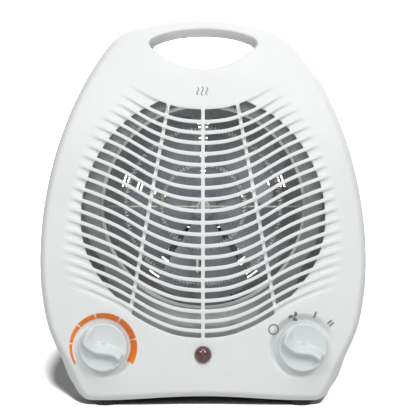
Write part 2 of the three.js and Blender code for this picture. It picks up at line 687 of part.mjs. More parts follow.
// One edge of a blade from hub to tip: [distance from the axis, half width].
const BLADE_EDGE = [
  [6, 5.2], [16.8, 10.9], [33.5, 21.8], [41.9, 27.2],
  [48.5, 30.9], [53, 30.6], [57, 26.9], [61.6, 16.4],
];
const BLADE_TIP = [63.8, 0];
const BLADE_SHEET = 1.2;
const BLADE_PITCH = 0.2;        // radians

function blade(k) {
  const outline = [
    ...BLADE_EDGE.map(([x, y]) => [x, -y]),
    BLADE_TIP,
    ...BLADE_EDGE.slice().reverse(),
  ];
  const g = new THREE.ExtrudeGeometry(
    new THREE.Shape(vectors(outline)),
    { depth: BLADE_SHEET, bevelEnabled: false },
  );
  g.translate(0, 0, -BLADE_SHEET / 2);
  g.rotateX(Math.PI / 2);       // into the X-Z plane
  g.rotateX(-BLADE_PITCH);      // about the blade's own arm
  g.rotateY((2 * Math.PI * (k + 0.25)) / BLADES);
  g.translate(0, FAN_Y, FAN_Z);
  return toSolid(g);
}
function impeller() {
  const hub = onFanAxis(9, span(FAN_Y, 6), 20);
  const blades = Array.from({ length: BLADES }, (_, k) => blade(k));
  return cut(union(hub, ...blades), onFanAxis(SHAFT_BORE_R, THROUGH, 16));
}

// ---------------------------------------------------------------- mains cord
const HANK_X = 25;              // middle of the hank on the floor
const HANK_Y = 97;
const HANK_STRAIGHT = 52;       // from the middle to the end turns' centres
const HANK_TURN = 21.3;         // outermost turn radius
const HANK_PITCH = 7.9;
const PLUG = { x: -49.2, y: 105, z: 12.3 };   // cord end of the plug
const PIN_OFFSET = 9.5;         // pins either side of the plug's middle

// Bush in the rear shell's cord hole: [radius, y].
const BUSH_PROFILE = [
  [CORD_R + 0.5, 40], [7, 40], [7, 42], [5, 43], [5, 52], [7.4, 54.4],
  [7.4, 57.5], [4.9, 66], [CORD_R + 0.5, 66], [CORD_R + 0.5, 40],
];
// From the terminal block through the bush, down to the floor, round in a flat
// oval spiral from outside to inside, then over the hank to the plug.
function mainsCord() {
  const z = CORD_R + 0.55;
  const step = HANK_PITCH / 2;  // radius lost per half round
  const [leftX, rightX] = span(HANK_X, 20);
  const quarter = Math.PI / 2;
  const easing = 0.25;          // radians left off both ends of a turn
  let r = HANK_TURN;
  const turn = (centreX, start, end) => (
    arc(r - step / 2, centreX, HANK_Y, start, end, 5).map(([x, y]) => [x, y, z]));
  const points = [
    [EXIT_X, 27, EXIT_Z], [EXIT_X, 44, EXIT_Z], [EXIT_X, 60, EXIT_Z], [EXIT_X, 70, EXIT_Z],
    [EXIT_X - 3, 75.5, EXIT_Z - 5], [EXIT_X - 9, 77.4, 10],
    [EXIT_X - 18, HANK_Y - r + 0.6, z + 0.6], [EXIT_X - 30, HANK_Y - r, z],
    [leftX, HANK_Y - r, z],
  ];
  for (let k = 0; k < 2; k++) {
    points.push(...turn(HANK_X - HANK_STRAIGHT, -quarter - easing, -3 * quarter + easing));
    r -= step;
    points.push([leftX, HANK_Y + r, z], [rightX, HANK_Y + r, z]);
    points.push(...turn(HANK_X + HANK_STRAIGHT, quarter - easing, -quarter + easing));
    r -= step;
    points.push([rightX, HANK_Y - r, z]);
    if (k === 0) points.push([leftX, HANK_Y - r, z]);
  }
  points.push(
    [HANK_X + 6, HANK_Y - r + 0.4, z + 1.4], [HANK_X - 8, HANK_Y - r + 2, z + 7.9],
    [HANK_X - 24, HANK_Y - 1, 11.9], [HANK_X - 46, HANK_Y + 3, 12],
    [HANK_X - 62, HANK_Y + 6, 12.1], [-48.5, HANK_Y + 8, PLUG.z],
  );
  return tube(points, CORD_R, 90, 6);
}

// Plug sections: [distance from the cord end, half width, half height].
const PLUG_SECTIONS = [
  [0.2, 4.4, 4.4], [8, 5.4, 5.2], [12, 9, 7], [22, 15.5, 8.2], [30, 16.5, 8.2], [33, 16, 7.8],
];
function mainsPlug() {
  const squarer = (v) => Math.sign(v) * Math.abs(v) ** 0.7;
  const rings = PLUG_SECTIONS.map(([distance, halfWide, halfHigh]) => (
    circle(1, 0, 0, 14).map(([c, s]) => [
      PLUG.x - distance,
      PLUG.y + halfWide * squarer(c),
      PLUG.z + halfHigh * squarer(s),
    ])));
  const sockets = SIDES.map((side) => (
    rodX(2.7, span(PLUG.x - 32, 4), PLUG.y + PIN_OFFSET * side, PLUG.z)));
  return cut(loft(rings), ...sockets);
}
const plugPin = (side) => (
  rodX(2.4, reach(PLUG.x, -50.3, -28.3), PLUG.y + PIN_OFFSET * side, PLUG.z, 2));

const terminalBlock = () => cut(
  box([10, 44], [12, 24], [14, 26]),
  box([9, 45], [17, 25], [19, 21.5]),
);
// Loop round the hank's straight runs.
const cableTie = () => cut(
  box([45, 50], [70.6, 123.4], [0.02, 8.9]),
  box([44, 51], [71.5, 122.5], [0.25, 8.2]),
);
// Foot plate on its boss, a riser and a finger over the cord.
const cordClamp = () => cut(
  union(
    box(span(CLAMP_X, 6), [33, 45], [24.4, 26.4]),
    box([31, 49], [34, 39.4], [30.2, 31.8]),
    box([29.4, 31], [34, 39.4], [24.4, 31.8]),
  ),
  rodZ(1.9, [20, 30], CLAMP_X, CLAMP_Y, 8),
);
const cordClampScrew = () => union(
  rodZ(1.1, [14, 26.9], CLAMP_X, CLAMP_Y, 8),
  rodZ(2.8, [26.7, 28.4], CLAMP_X, CLAMP_Y, 10),
);

// Internal wire routes: [x, y, z].
const LAMP_WIRE = [
  [0, LAMP_Y + 14.4, LAMP_Z], [2, -28, 34], [8, -10, 24], [8.6, 6, 19], [8.6, 15, 18],
];
const HEATER_WIRE = [
  [60, SEAT_Y + 19.4, 48], [60, -20, 52], [56, -6, 60], [54, 8, 72], [44, 12, 88],
];
const MOTOR_WIRE = [[13, 30, 92], [20, 31, 70], [26, 28, 46], [27, 24.6, 30], [27, 20, 26.6]];

// ---------------------------------------------------------------- assembly
const group = new THREE.Group();
function add(name, solid, material) {
  const mesh = new THREE.Mesh(toGeometry(solid), new THREE.MeshStandardMaterial(material));
  mesh.name = name;
  group.add(mesh);
}
function addEach(name, places, build, material) {
  places.forEach((place, i) => add(`${name}_${i + 1}`, build(...place), material));
}

add('front_shell', frontShell(), WHITE);
add('rear_shell', rearShell(), WHITE);
addEach('case_screw', CASE_SCREWS, caseScrew, STEEL);
addEach('rubber_foot', FEET, rubberFoot, BLACK);

add('thermostat_knob', knob(THERMOSTAT_X), KNOB_WHITE);
add('thermostat_spindle', thermostatSpindle(), BRASS);
add('thermostat_body', thermostatBody(), CREAM);
add('thermostat_nut', panelNut(THERMOSTAT_X), STEEL);
add('thermostat_bimetal', thermostatBimetal(), BRASS);
add('selector_knob', knob(SELECTOR_X), KNOB_WHITE);
add('selector_spindle', selectorSpindle(), CREAM);
add('selector_switch_body', selectorBody(), BLACK);
add('selector_nut', panelNut(SELECTOR_X), STEEL);
add('lamp_lens', lathe(LENS_PROFILE, 14, 0, LAMP_Y - 0.1, LAMP_Z), RED_LENS);
add('lamp_retainer', cut(lampRod(7, 5.4, 6.4, 18), lampRod(4.8, 5, 7, 18)), STEEL);
add('lamp_body', union(lampRod(3, 1.2, 12, 12), lampRod(4.4, 7.8, 14, 12)), CREAM);

add('air_duct', airDuct(), ZINC);
addEach('duct_screw', DUCT_EARS, ductScrew, STEEL);
add('mica_board_vertical', micaBoard(true), MICA);
add('mica_board_horizontal', micaBoard(false), MICA);
for (const coil of COILS) add(coil.name, heatingCoil(coil), HEATING_WIRE);
add('thermal_cutout', thermalCutout(), BLACK);
add('thermal_fuse', thermalFuse(), CREAM);

add('motor_bracket', motorBracket(), STEEL);
addEach('bracket_screw', DUCT_TABS, bracketScrew, STEEL);
add('bearing_plate_front', bearingPlate(6), STEEL);
add('bearing_plate_rear', bearingPlate(22.6), STEEL);
add('bearing_bush_front', bearingBush(5), BRASS);
add('bearing_bush_rear', bearingBush(21.6), BRASS);
add('motor_stator', motorStator(), LAMINATION);
add('motor_coil', motorCoil(), COPPER);
add('motor_rotor', motorRotor(), STEEL);
add('motor_shaft', onFanAxis(SHAFT_R, [-19, 27], 24), STEEL);
addEach('motor_screw', MOTOR_SCREWS, motorScrew, STEEL);
add('fan_impeller', impeller(), ALUMINIUM);
add('fan_hub_nut', hexNut(5, SHAFT_BORE_R, reach(FAN_Y, -10.4, -6.3), 0, FAN_Z), ZINC);

add('terminal_block', terminalBlock(), CREAM);
add('cord_bush', lathe(BUSH_PROFILE, 10, EXIT_X, 0, EXIT_Z), BLACK);
add('mains_cord', mainsCord(), BLACK);
add('mains_plug', mainsPlug(), BLACK);
addEach('plug_pin', SIDES.map((side) => [side]), plugPin, BRASS);
add('cable_tie', cableTie(), BLACK);
add('cord_clamp', cordClamp(), CREAM);
add('cord_clamp_screw', cordClampScrew(), STEEL);
add('wire_lamp', tube(LAMP_WIRE, 0.9, 14, 5), RED_WIRE);
add('wire_heater', tube(HEATER_WIRE, 1.1, 16, 5), PALE_WIRE);
add('wire_motor', tube(MOTOR_WIRE, 1, 14, 5), BLUE_WIRE);

// The origin is the middle of the whole object's box on the floor: the hank
// behind the casing moves the casing forward.
const bounds = new THREE.Box3().setFromObject(group);
group.position.set(-middle([bounds.min.x, bounds.max.x]), -middle([bounds.min.y, bounds.max.y]), 0);

export default group;
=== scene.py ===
"""A portable fan heater: a white moulded casing in two shells with a carrying grip, a barred
grille, two knobs and a lamp; duct, coils and fan inside; the hanked mains cord behind it.

The frame is in metres, z up, with the feet on z = 0. The front faces -y and x runs to the
right as seen from the front. Pieces are modelled in millimetres with y measured from the
parting plane of the two shells; to_object() moves them into the frame."""
import math
from collections import namedtuple

import bpy
import numpy as np
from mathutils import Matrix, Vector
from mathutils.geometry import delaunay_2d_cdt
from mathutils.kdtree import KDTree


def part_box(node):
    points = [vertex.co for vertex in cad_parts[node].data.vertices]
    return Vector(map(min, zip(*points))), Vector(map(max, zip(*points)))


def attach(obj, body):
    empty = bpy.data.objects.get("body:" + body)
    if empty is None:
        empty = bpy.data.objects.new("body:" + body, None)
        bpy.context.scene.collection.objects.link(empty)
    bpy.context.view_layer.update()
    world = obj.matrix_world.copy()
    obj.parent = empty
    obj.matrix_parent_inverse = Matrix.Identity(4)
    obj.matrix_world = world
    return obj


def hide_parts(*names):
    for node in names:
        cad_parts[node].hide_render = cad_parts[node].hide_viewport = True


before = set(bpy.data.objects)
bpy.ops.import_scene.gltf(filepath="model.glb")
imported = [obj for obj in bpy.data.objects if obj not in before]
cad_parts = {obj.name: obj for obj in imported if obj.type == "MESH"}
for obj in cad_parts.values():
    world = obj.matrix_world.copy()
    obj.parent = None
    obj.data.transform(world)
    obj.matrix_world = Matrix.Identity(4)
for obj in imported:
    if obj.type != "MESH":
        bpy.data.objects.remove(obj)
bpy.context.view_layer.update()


# ------------------------------------------------------------------ dimensions, mm
HEIGHT = 265.0
SOLE = 3.2                  # lowest edge of the casing
ARCH = 3.4                  # rise of the underside at its middle
WALL = 2.5
SPLIT = 0.15                # each shell's edge from the parting plane
PARTING_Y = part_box("front_shell")[1].y * 1000 + SPLIT
SIDE_DRAFT, BASE_DRAFT = 1.8, 1.2
EDGE_R, EDGE_DROP = 4.6, 8.0            # rounded rim of each shell: inset and depth
FAN_Z = 134.0
KNOB_X, KNOB_Z, KNOB_R = 66.0, 41.0, 16.2
KNOB_RIM = 1.3                          # rounding at the rim of a knob
KNOB_FACE, KNOB_BASE = -55.8, -49.0     # y
KNOB_DISH = 1.7
SEAT_R, SEAT_Y = 17.4, -48.6            # flat seat behind each knob
LAMP_Z, LENS_R = 36.0, 5.3
GRIP_LIP = 2.0
CORD_X, CORD_Z, CORD_R = 46.0, 26.0, 3.5
PLUG_X, PLUG_Y, PLUG_Z = -49.2, 105.0, 12.3
DUCT_R, DUCT_FRONT, DUCT_BACK = 69.0, -41.0, 2.0
PANEL_X, PANEL_Z, PANEL_CORNER = -22, 37, 4     # recessed field low on the back
PANEL_HALF_X, PANEL_HALF_Z = 25, 8              # its corner centres from its middle
SCREWS = [(-76, 17), (76, 17), (-96, 112), (96, 112), (-51, 239), (51, 239)]    # x, z
FEET = [(-66, -27), (66, -27), (-66, 27), (66, 27)]                             # x, y

# Casing outline, right half, from the top to the sole: cubic Bezier control points (x, z)
SIDE_CURVES = [
    [(0, 265), (33.4, 265), (55.2, 257.5), (65, 244.4)],
    [(65, 244.4), (80.5, 223.6), (110.5, 168.5), (110.5, 96.5)],
    [(110.5, 96.5), (110.5, 63.4), (101.5, 36.5), (94.9, 17.8)],
    [(94.9, 17.8), (91.9, 9.4), (86.4, 0), (74.5, 0)]]
SOLE_HALF_WIDTH = 74.5
HALF_STEPS = 156            # outline points down one half
SIDE_POINTS = 1600          # the side and the first few points of the sole

# (height, depth of the form at its middle) of each shell, and (height, fall at its sides)
FRONT_DEPTH = [(0, 50), (30, 54), (80, 57), (130, 57), (180, 53), (220, 43.5), (245, 32),
               (265, 21)]
REAR_DEPTH = [(0, 48), (40, 54), (90, 57), (140, 57), (185, 52), (222, 42.5), (246, 31),
              (265, 21)]
CROWN = [(0, 8), (40, 8), (134, 12), (200, 10), (245, 6), (265, 3)]

# Edge of the grip hole, right half from top to bottom (x, z)
GRIP_HALF = [
    (0, 253.8), (7, 253.6), (14, 253), (20, 252.1), (26, 250.6), (31, 248.9), (33.6, 247.8),
    (35.6, 246.4), (36.6, 244.6), (36.5, 242.9), (35.2, 241.2), (30, 237), (24.6, 233.4),
    (18.6, 230.2), (12.6, 227.8), (6.4, 226.4), (0, 226)]

# Grille: height of each curved bar at x = 0, and (x, rise of every bar above that height)
BAR_W, RIB_W = 2.6, 2.4
BARS = [190.0, 182.7, 175.8, 168.6, 161.3, 153.9, 146.1, 138.4, 130.8, 123.1,
        115.4, 107.8, 100.2, 92.8, 85.5, 78.6, 71.7, 64.7, 58.1, 51.8]
SLOT_TOP, SLOT_BOTTOM = 198.3, 47.2
BAR_RISE = [(0, 0), (11, 0.7), (19, 2.2), (27, 5), (35, 8.6), (43, 13.2), (51, 17.9), (59, 22),
            (67, 25.4), (75, 28.5), (83, 31.2), (91, 33.3), (99, 34.6), (107, 35.4)]
# Right edge of the open grille, from top to bottom (x, z)
OPEN_EDGE = [
    (28.3, 204.4), (34, 201.4), (42, 197.4), (49.8, 192.2), (59.8, 182.4), (68, 171),
    (74.8, 157.8), (79.2, 143.8), (81.1, 130.6), (80.6, 117.1), (77.4, 103.9), (72.6, 93.4),
    (66.2, 84), (57.6, 74), (47.8, 64.4)]
# x where the groove that carries on from each slot fades out
GROOVE_END = [51, 54, 57.5, 62, 66, 70, 73, 76, 78.6, 81, 83, 85, 86.5, 88, 89.2, 90.2, 91,
              91.3, 91.2, 90.4, 88]
RIB_LOW_Z, RIB_HIGH_Z = 63, 202
RIBS = [(-22.9, -48.3), (0.0, 0.0), (22.9, 48.3)]       # x at the high and at the low station


# ------------------------------------------------------------------ curves and outlines
def table_curve(table, low, high):
    """Smooth curve through a table, as a fast sampled function."""
    points = np.array(table, float)
    last = len(points) - 1

    def slope(k):
        a, b = points[max(k - 1, 0)], points[min(k + 1, last)]
        return (b[1] - a[1]) / (b[0] - a[0])

    stations = np.linspace(low, high, 2400)
    values = np.empty_like(stations)
    for n, station in enumerate(stations):
        i = int(np.clip(np.searchsorted(points[:, 0], station) - 1, 0, last - 1))
        span = points[i + 1, 0] - points[i, 0]
        u = min(max((station - points[i, 0]) / span, 0.0), 1.0)
        values[n] = ((2*u**3 - 3*u**2 + 1) * points[i, 1]
                     + (u**3 - 2*u**2 + u) * span * slope(i)
                     + (-2*u**3 + 3*u**2) * points[i + 1, 1]
                     + (u**3 - u**2) * span * slope(i + 1))
    return lambda v: np.interp(v, stations, values)


def smoothstep(t):
    t = np.clip(t, 0.0, 1.0)
    return t * t * (3 - 2 * t)


def bezier(controls, count):
    t = np.linspace(0, 1, count)[:, None]
    a, b, c, d = np.array(controls, float)
    return (1-t)**3*a + 3*(1-t)**2*t*b + 3*(1-t)*t*t*c + t**3*d


def spline(points, steps, closed=False):
    """Catmull-Rom curve through points, with this many steps from one to the next."""
    p = list(np.array(points, float))
    if closed:
        padded = [p[-1], *p, p[0], p[1]]
    else:
        padded = [2 * p[0] - p[1], *p, 2 * p[-1] - p[-2]]
    curve = []
    for p0, p1, p2, p3 in zip(padded, padded[1:], padded[2:], padded[3:]):
        for t in np.linspace(0, 1, steps + 1)[:-1]:
            curve.append(0.5 * (2*p1 + (p2 - p0)*t + (2*p0 - 5*p1 + 4*p2 - p3)*t*t
                                + (3*p1 - p0 - 3*p2 + p3)*t**3))
    if not closed:
        curve.append(p[-1])
    return np.array(curve)


def lengths_along(points):
    return np.concatenate([[0], np.cumsum(np.linalg.norm(np.diff(points, axis=0), axis=1))])


def resample(points, count, closed=False):
    """Evenly spaced points along a line in two or three dimensions."""
    p = np.asarray(points, float)
    if closed:
        p = np.vstack([p, p[:1]])
    along = lengths_along(p)
    at = np.linspace(0, along[-1], count + 1 if closed else count)
    if closed:
        at = at[:-1]
    return np.column_stack([np.interp(at, along, column) for column in p.T])


def signed_area(loop):
    x, z = loop.T
    return 0.5 * np.sum(x * np.roll(z, -1) - np.roll(x, -1) * z)


def anticlockwise(loop):
    return bool(signed_area(loop) > 0)


def loop_normals(loop):
    """Outward normals of a closed loop (away from its inside)."""
    d = np.roll(loop, -1, 0) - np.roll(loop, 1, 0)
    n = np.column_stack([-d[:, 1], d[:, 0]])
    n /= np.linalg.norm(n, axis=1)[:, None] + 1e-12
    return n if signed_area(loop) < 0 else -n


def arc(centre, radius, angles):
    return np.column_stack([centre[0] + radius * np.cos(angles),
                            centre[1] + radius * np.sin(angles)])


def circle(radius, x, z, count, phase=0.0):
    return arc((x, z), radius, phase + np.linspace(0, 2 * np.pi, count, endpoint=False))


def mirrored(right_half):
    """The left half of an outline, running back from the end of the right half."""
    return (right_half * [-1, 1])[::-1]


def rounded_rectangle(low, high, radius, steps):
    """Quarter arcs about the four corner centres that low and high span."""
    corners = ((high[0], high[1], 0), (low[0], high[1], 90),
               (low[0], low[1], 180), (high[0], low[1], 270))
    return np.vstack([arc((x, z), radius, np.radians(start + np.linspace(0, 90, steps)))
                      for x, z, start in corners])


def lip(radius, angles):
    """(distance out from the bore, depth below the face) round a rounded lip."""
    return [(radius * (1 - math.sin(a)), radius * (1 - math.cos(a)))
            for a in map(math.radians, angles)]


def grid(x_low, x_high, z_low, z_high, step):
    return np.array([(x, z) for x in np.arange(x_low, x_high, step)
                     for z in np.arange(z_low, z_high, step)], float)


# ------------------------------------------------------------------ casing form
def half_outline():
    side = np.vstack([bezier(controls, 400)[:-1] for controls in SIDE_CURVES])
    side[:, 1] = SOLE + side[:, 1] * (HEIGHT - SOLE) / HEIGHT
    x = np.linspace(SOLE_HALF_WIDTH, 0, 300)
    z = SOLE + ARCH * 0.5 * (1 + np.cos(np.pi * x / SOLE_HALF_WIDTH))
    return np.vstack([side, np.column_stack([x, z])])


HALF = half_outline()
SIDE_UP = HALF[:SIDE_POINTS][::-1]
RIGHT_HALF = resample(HALF, HALF_STEPS + 1)
OUTLINE = np.vstack([RIGHT_HALF, mirrored(RIGHT_HALF[1:-1])])      # clockwise from the top
OUTLINE_NORMALS = loop_normals(OUTLINE)

front_depth = table_curve(FRONT_DEPTH, 0, HEIGHT)
rear_depth = table_curve(REAR_DEPTH, 0, HEIGHT)
crown = table_curve(CROWN, 0, HEIGHT)
bar_rise = table_curve([(-x, z) for x, z in BAR_RISE[2:0:-1]] + BAR_RISE, 0, 107)


def half_width(z):
    return np.interp(z, SIDE_UP[:, 1], SIDE_UP[:, 0])


def form_depth(profile, x, z):
    """Depth of the plain crowned form from the parting plane."""
    z = np.clip(z, 0, HEIGHT)
    u = np.minimum(np.abs(x) / np.maximum(half_width(z), 12), 1)
    return profile(z) - crown(z) * u ** 2.4


def full_draft():
    """Lean of the side walls from the parting plane to the face, growing towards the sole."""
    side = SIDE_DRAFT + 6.0 * smoothstep((58 - OUTLINE[:, 1]) / 42)
    vertical = np.where(OUTLINE_NORMALS[:, 1] < 0, BASE_DRAFT, SIDE_DRAFT)
    return np.column_stack([-OUTLINE_NORMALS[:, 0] * side, -OUTLINE_NORMALS[:, 1] * vertical])


DRAFT = full_draft()


def outline_inset(draft_part, inset):
    return OUTLINE + DRAFT * draft_part - OUTLINE_NORMALS * inset


def grip_outline():
    half = np.array(GRIP_HALF, float)
    loop = resample(spline(np.vstack([half, mirrored(half[1:-1])]), 8, True), 110, True)
    for _ in range(2):
        loop = 0.5 * loop + 0.25 * (np.roll(loop, 1, 0) + np.roll(loop, -1, 0))
    return loop


GRIP = grip_outline()
GRIP_NORMALS = loop_normals(GRIP)


def grip_loop(outset):
    return GRIP + GRIP_NORMALS * outset


# ------------------------------------------------------------------ mesh builder
class Solid:
    """Vertices in mm from the parting plane, and faces; rows are lists of vertex ids."""

    def __init__(self):
        self.verts, self.faces = [], []

    def add(self, points):
        start = len(self.verts)
        self.verts.extend([tuple(map(float, p)) for p in points])
        return list(range(start, len(self.verts)))

    def row(self, outline, y):
        y = np.broadcast_to(np.asarray(y, float), (len(outline),))
        return self.add(np.column_stack([outline[:, 0], y, outline[:, 1]]))

    def strip(self, a, b, flip=False):
        """Quads between two closed rows."""
        for i in range(len(a)):
            j = (i + 1) % len(a)
            quad = (a[i], a[j], b[j], b[i])
            self.faces.append(quad[::-1] if flip else quad)

    def strips(self, rows, flip=False):
        for a, b in zip(rows, rows[1:]):
            self.strip(a, b, flip)

    def fan(self, centre, row, flip=False):
        """Triangles from a centre vertex to a closed row."""
        for a, b in zip(row, row[1:] + row[:1]):
            self.faces.append((centre, b, a) if flip else (centre, a, b))

    def cap(self, row, flip=False):
        self.fan(self.add([np.array([self.verts[i] for i in row]).mean(0)])[0], row, flip)

    def plate(self, points, triangles, y_first, y_second, edge=None, flip=False):
        """Two skins over the same triangles, joined along the edge loop if one is given."""
        first, second = self.row(points, y_first), self.row(points, y_second)
        for t in triangles:
            a, b = (second, first) if flip else (first, second)
            self.faces.append((a[t[0]], a[t[1]], a[t[2]]))
            self.faces.append((b[t[2]], b[t[1]], b[t[0]]))
        if edge:
            self.strip([first[k] for k in edge], [second[k] for k in edge],
                       anticlockwise(points[edge]))
        return first, second

    def oriented(self):
        """Turns every face round if the closed mesh faces inward."""
        v = np.array(self.verts)
        volume = 0.0
        for f in self.faces:
            for i in range(1, len(f) - 1):
                volume += np.dot(v[f[0]], np.cross(v[f[i]], v[f[i + 1]]))
        if volume < 0:
            self.faces = [f[::-1] for f in self.faces]
        return self


def to_object(name, solid, material, sharp_degrees, replaces=None, ride="heater_body"):
    """Turns a Solid into a piece of the heater."""
    verts = np.array(solid.verts, float)
    verts[:, 1] += PARTING_Y
    mesh = bpy.data.meshes.new(name)
    mesh.from_pydata((verts / 1000).tolist(), [], solid.faces)
    mesh.validate(clean_customdata=False)
    piece = bpy.data.objects.new(name, mesh)
    bpy.context.scene.collection.objects.link(piece)
    mesh.polygons.foreach_set("use_smooth", [True] * len(mesh.polygons))
    mesh.set_sharp_from_angle(angle=math.radians(sharp_degrees))
    mesh.update()
    mesh.materials.append(MATERIALS[material])
    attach(piece, ride)
    if replaces:
        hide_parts(replaces)


# ------------------------------------------------------------------ triangulation
def in_loop(points, loop):
    """Which points lie inside a closed loop."""
    x, z = points[:, 0][:, None], points[:, 1][:, None]
    x1, z1 = loop[:, 0][None], loop[:, 1][None]
    x2, z2 = np.roll(loop[:, 0], -1)[None], np.roll(loop[:, 1], -1)[None]
    crossed = ((z1 > z) != (z2 > z)) & (x < (x2 - x1) * (z - z1) / (z2 - z1 + 1e-30) + x1)
    return (np.count_nonzero(crossed, axis=1) % 2) == 1


def clear_of(points, others, gap):
    """The points that lie further than the gap from all the others."""
    tree = KDTree(len(others))
    for i, p in enumerate(others):
        tree.insert((p[0], p[1], 0), i)
    tree.balance()
    return [p for p in points if tree.find((p[0], p[1], 0))[2] > gap]


def triangulate(outer, free, gap, holes=(), guides=(), open_guides=()):
    """Triangles over the area inside outer and outside the holes. All the loops and open
    guide lines become edges; free points fill the rest, a gap away from them. Returns the
    points, the triangles and each loop's point indices."""
    points, edges, loop_ids = [], [], []
    for loop in [outer, *holes, *guides]:
        start, n = len(points), len(loop)
        points.extend(map(tuple, loop))
        edges.extend((start + k, start + (k + 1) % n) for k in range(n))
        loop_ids.append(range(start, start + n))
    for line in open_guides:
        start = len(points)
        points.extend(map(tuple, line))
        edges.extend((start + k, start + k + 1) for k in range(len(line) - 1))
    free = free[in_loop(free, outer)]
    for hole in holes:
        free = free[~in_loop(free, hole)]
    points.extend(map(tuple, clear_of(free, np.array(points, float), gap)))
    given = np.array(points, float)
    verts, _, faces, sources, _, _ = delaunay_2d_cdt([Vector(p) for p in given], edges, [],
                                                     0, 1e-5)
    verts = np.array([(v.x, v.y) for v in verts])
    triangles = np.array([f for f in faces if len(f) == 3])
    # keep exact input coordinates where a vertex came from the input
    index = {}
    for i, source in enumerate(sources):
        for k in source:
            index[k] = i
        if source:
            verts[i] = given[source[0]]
    middles = verts[triangles].mean(1)
    inside = in_loop(middles, outer)
    for hole in holes:
        inside &= ~in_loop(middles, hole)
    return verts, triangles[inside], [[index[k] for k in ids] for ids in loop_ids]


# ------------------------------------------------------------------ grille layout
open_edge = spline(OPEN_EDGE, 12)
widest = int(np.argmax(open_edge[:, 0]))
OPEN_HALF_WIDTH = open_edge[widest, 0]
# beyond the ends of the edge line the limits stand clear of every slot
upper_edge = np.vstack([[(0, 260), (28.2, 260)], open_edge[:widest + 1]])
lower_edge = np.vstack([[(0, 20), (47.7, 20)], open_edge[widest:][::-1]])


def open_top(x):
    return np.interp(np.abs(x), upper_edge[:, 0], upper_edge[:, 1])


def open_bottom(x):
    return np.interp(np.abs(x), lower_edge[:, 0], lower_edge[:, 1])


# top and bottom of each slot at x = 0, from the top of the grille down
SLOTS = list(zip([SLOT_TOP] + [bar - BAR_W / 2 for bar in BARS],
                 [bar + BAR_W / 2 for bar in BARS] + [SLOT_BOTTOM]))


def slot_edge_x(top, bottom):
    """Where the middle of a slot meets the edge of the open grille."""
    x = np.linspace(20, 90, 1400)
    z = 0.5 * (top + bottom) + bar_rise(x)
    inside = (z < open_top(x)) & (z > open_bottom(x)) & (x < OPEN_HALF_WIDTH)
    return float(x[inside][-1])


SLOT_ENDS = [slot_edge_x(top, bottom) for top, bottom in SLOTS]


def rib_x(rib, z):
    high_x, low_x = rib
    return low_x + (high_x - low_x) * (z - RIB_LOW_Z) / (RIB_HIGH_Z - RIB_LOW_Z)


def left_of(rib):
    return lambda p: (rib_x(rib, p[1]) - RIB_W / 2) - p[0]


def right_of(rib):
    return lambda p: p[0] - (rib_x(rib, p[1]) + RIB_W / 2)


BAYS = ([[left_of(RIBS[0])]]
        + [[right_of(a), left_of(b)] for a, b in zip(RIBS, RIBS[1:])]
        + [[right_of(RIBS[-1])]])


def clip(outline, side):
    """Part of an outline where the linear function side(point) > 0, or None."""
    kept = []
    values = [side(p) for p in outline]
    for i, (a, value_a) in enumerate(zip(outline, values)):
        j = (i + 1) % len(outline)
        b, value_b = outline[j], values[j]
        if value_a > 0:
            kept.append(a)
        if (value_a > 0) != (value_b > 0):
            kept.append(a + (b - a) * value_a / (value_a - value_b))
    return np.array(kept) if len(kept) > 2 else None


def turning_angles(points, reach=0.6):
    """Turn of a closed dense outline at each point, in degrees, over the reach either way."""
    n = len(points)

    def away(i, step):
        travelled, j = 0.0, i
        while travelled < reach:
            k = (j + step) % n
            travelled += np.linalg.norm(points[k] - points[j])
            j = k
        return points[j]

    angles = []
    for i in range(n):
        before, after = points[i] - away(i, -1), away(i, 1) - points[i]
        lengths = np.linalg.norm(before) * np.linalg.norm(after) + 1e-9
        cosine = np.dot(before, after) / lengths
        angles.append(math.degrees(math.acos(max(-1, min(1, cosine)))))
    return angles


def round_corners(outline, radius=0.8, step=2.1):
    """Resamples a dense outline with its corners rounded; None if it has under three."""
    kept = [outline[0]]
    for point in outline[1:]:
        if np.linalg.norm(point - kept[-1]) > 0.05:
            kept.append(point)
    if np.linalg.norm(kept[0] - kept[-1]) < 0.05:
        kept.pop()
    dense = []
    for a, b in zip(kept, kept[1:] + kept[:1]):
        count = max(1, int(round(np.linalg.norm(b - a) / 0.22)))
        dense.extend(a + (b - a) * j / count for j in range(count))
    p = np.array(dense)
    n = len(p)
    turns = turning_angles(p)
    corners = []
    for i in range(n):
        sharpest = max(turns[(i + d) % n] for d in range(-3, 4))
        if turns[i] > 28 and turns[i] == sharpest:
            if not corners or np.linalg.norm(p[i] - p[corners[-1]]) > 0.7:
                corners.append(i)
    if len(corners) > 1 and np.linalg.norm(p[corners[0]] - p[corners[-1]]) < 0.7:
        corners.pop()
    if len(corners) < 3:
        return None
    sides = []
    for i, j in zip(corners, corners[1:] + corners[:1]):
        side = [p[i]]
        while i != j:
            i = (i + 1) % n
            side.append(p[i])
        side = np.array(side)
        along = lengths_along(side)
        length = along[-1]
        cut = min(radius, 0.38 * length)
        count = max(2, int(math.ceil((length - 2 * cut) / step)) + 1)
        at = np.linspace(cut, length - cut, count)
        sides.append(np.column_stack([np.interp(at, along, c) for c in side.T]))
    rounded = []
    for k, side in enumerate(sides):
        following = (k + 1) % len(sides)
        end, start = side[-1], sides[following][0]
        corner = p[corners[following]]
        rounded.extend(side)
        for t in (0.25, 0.5, 0.75):
            rounded.append((1-t)**2 * end + 2*(1-t)*t * corner + t*t * start)
    return np.array(rounded)


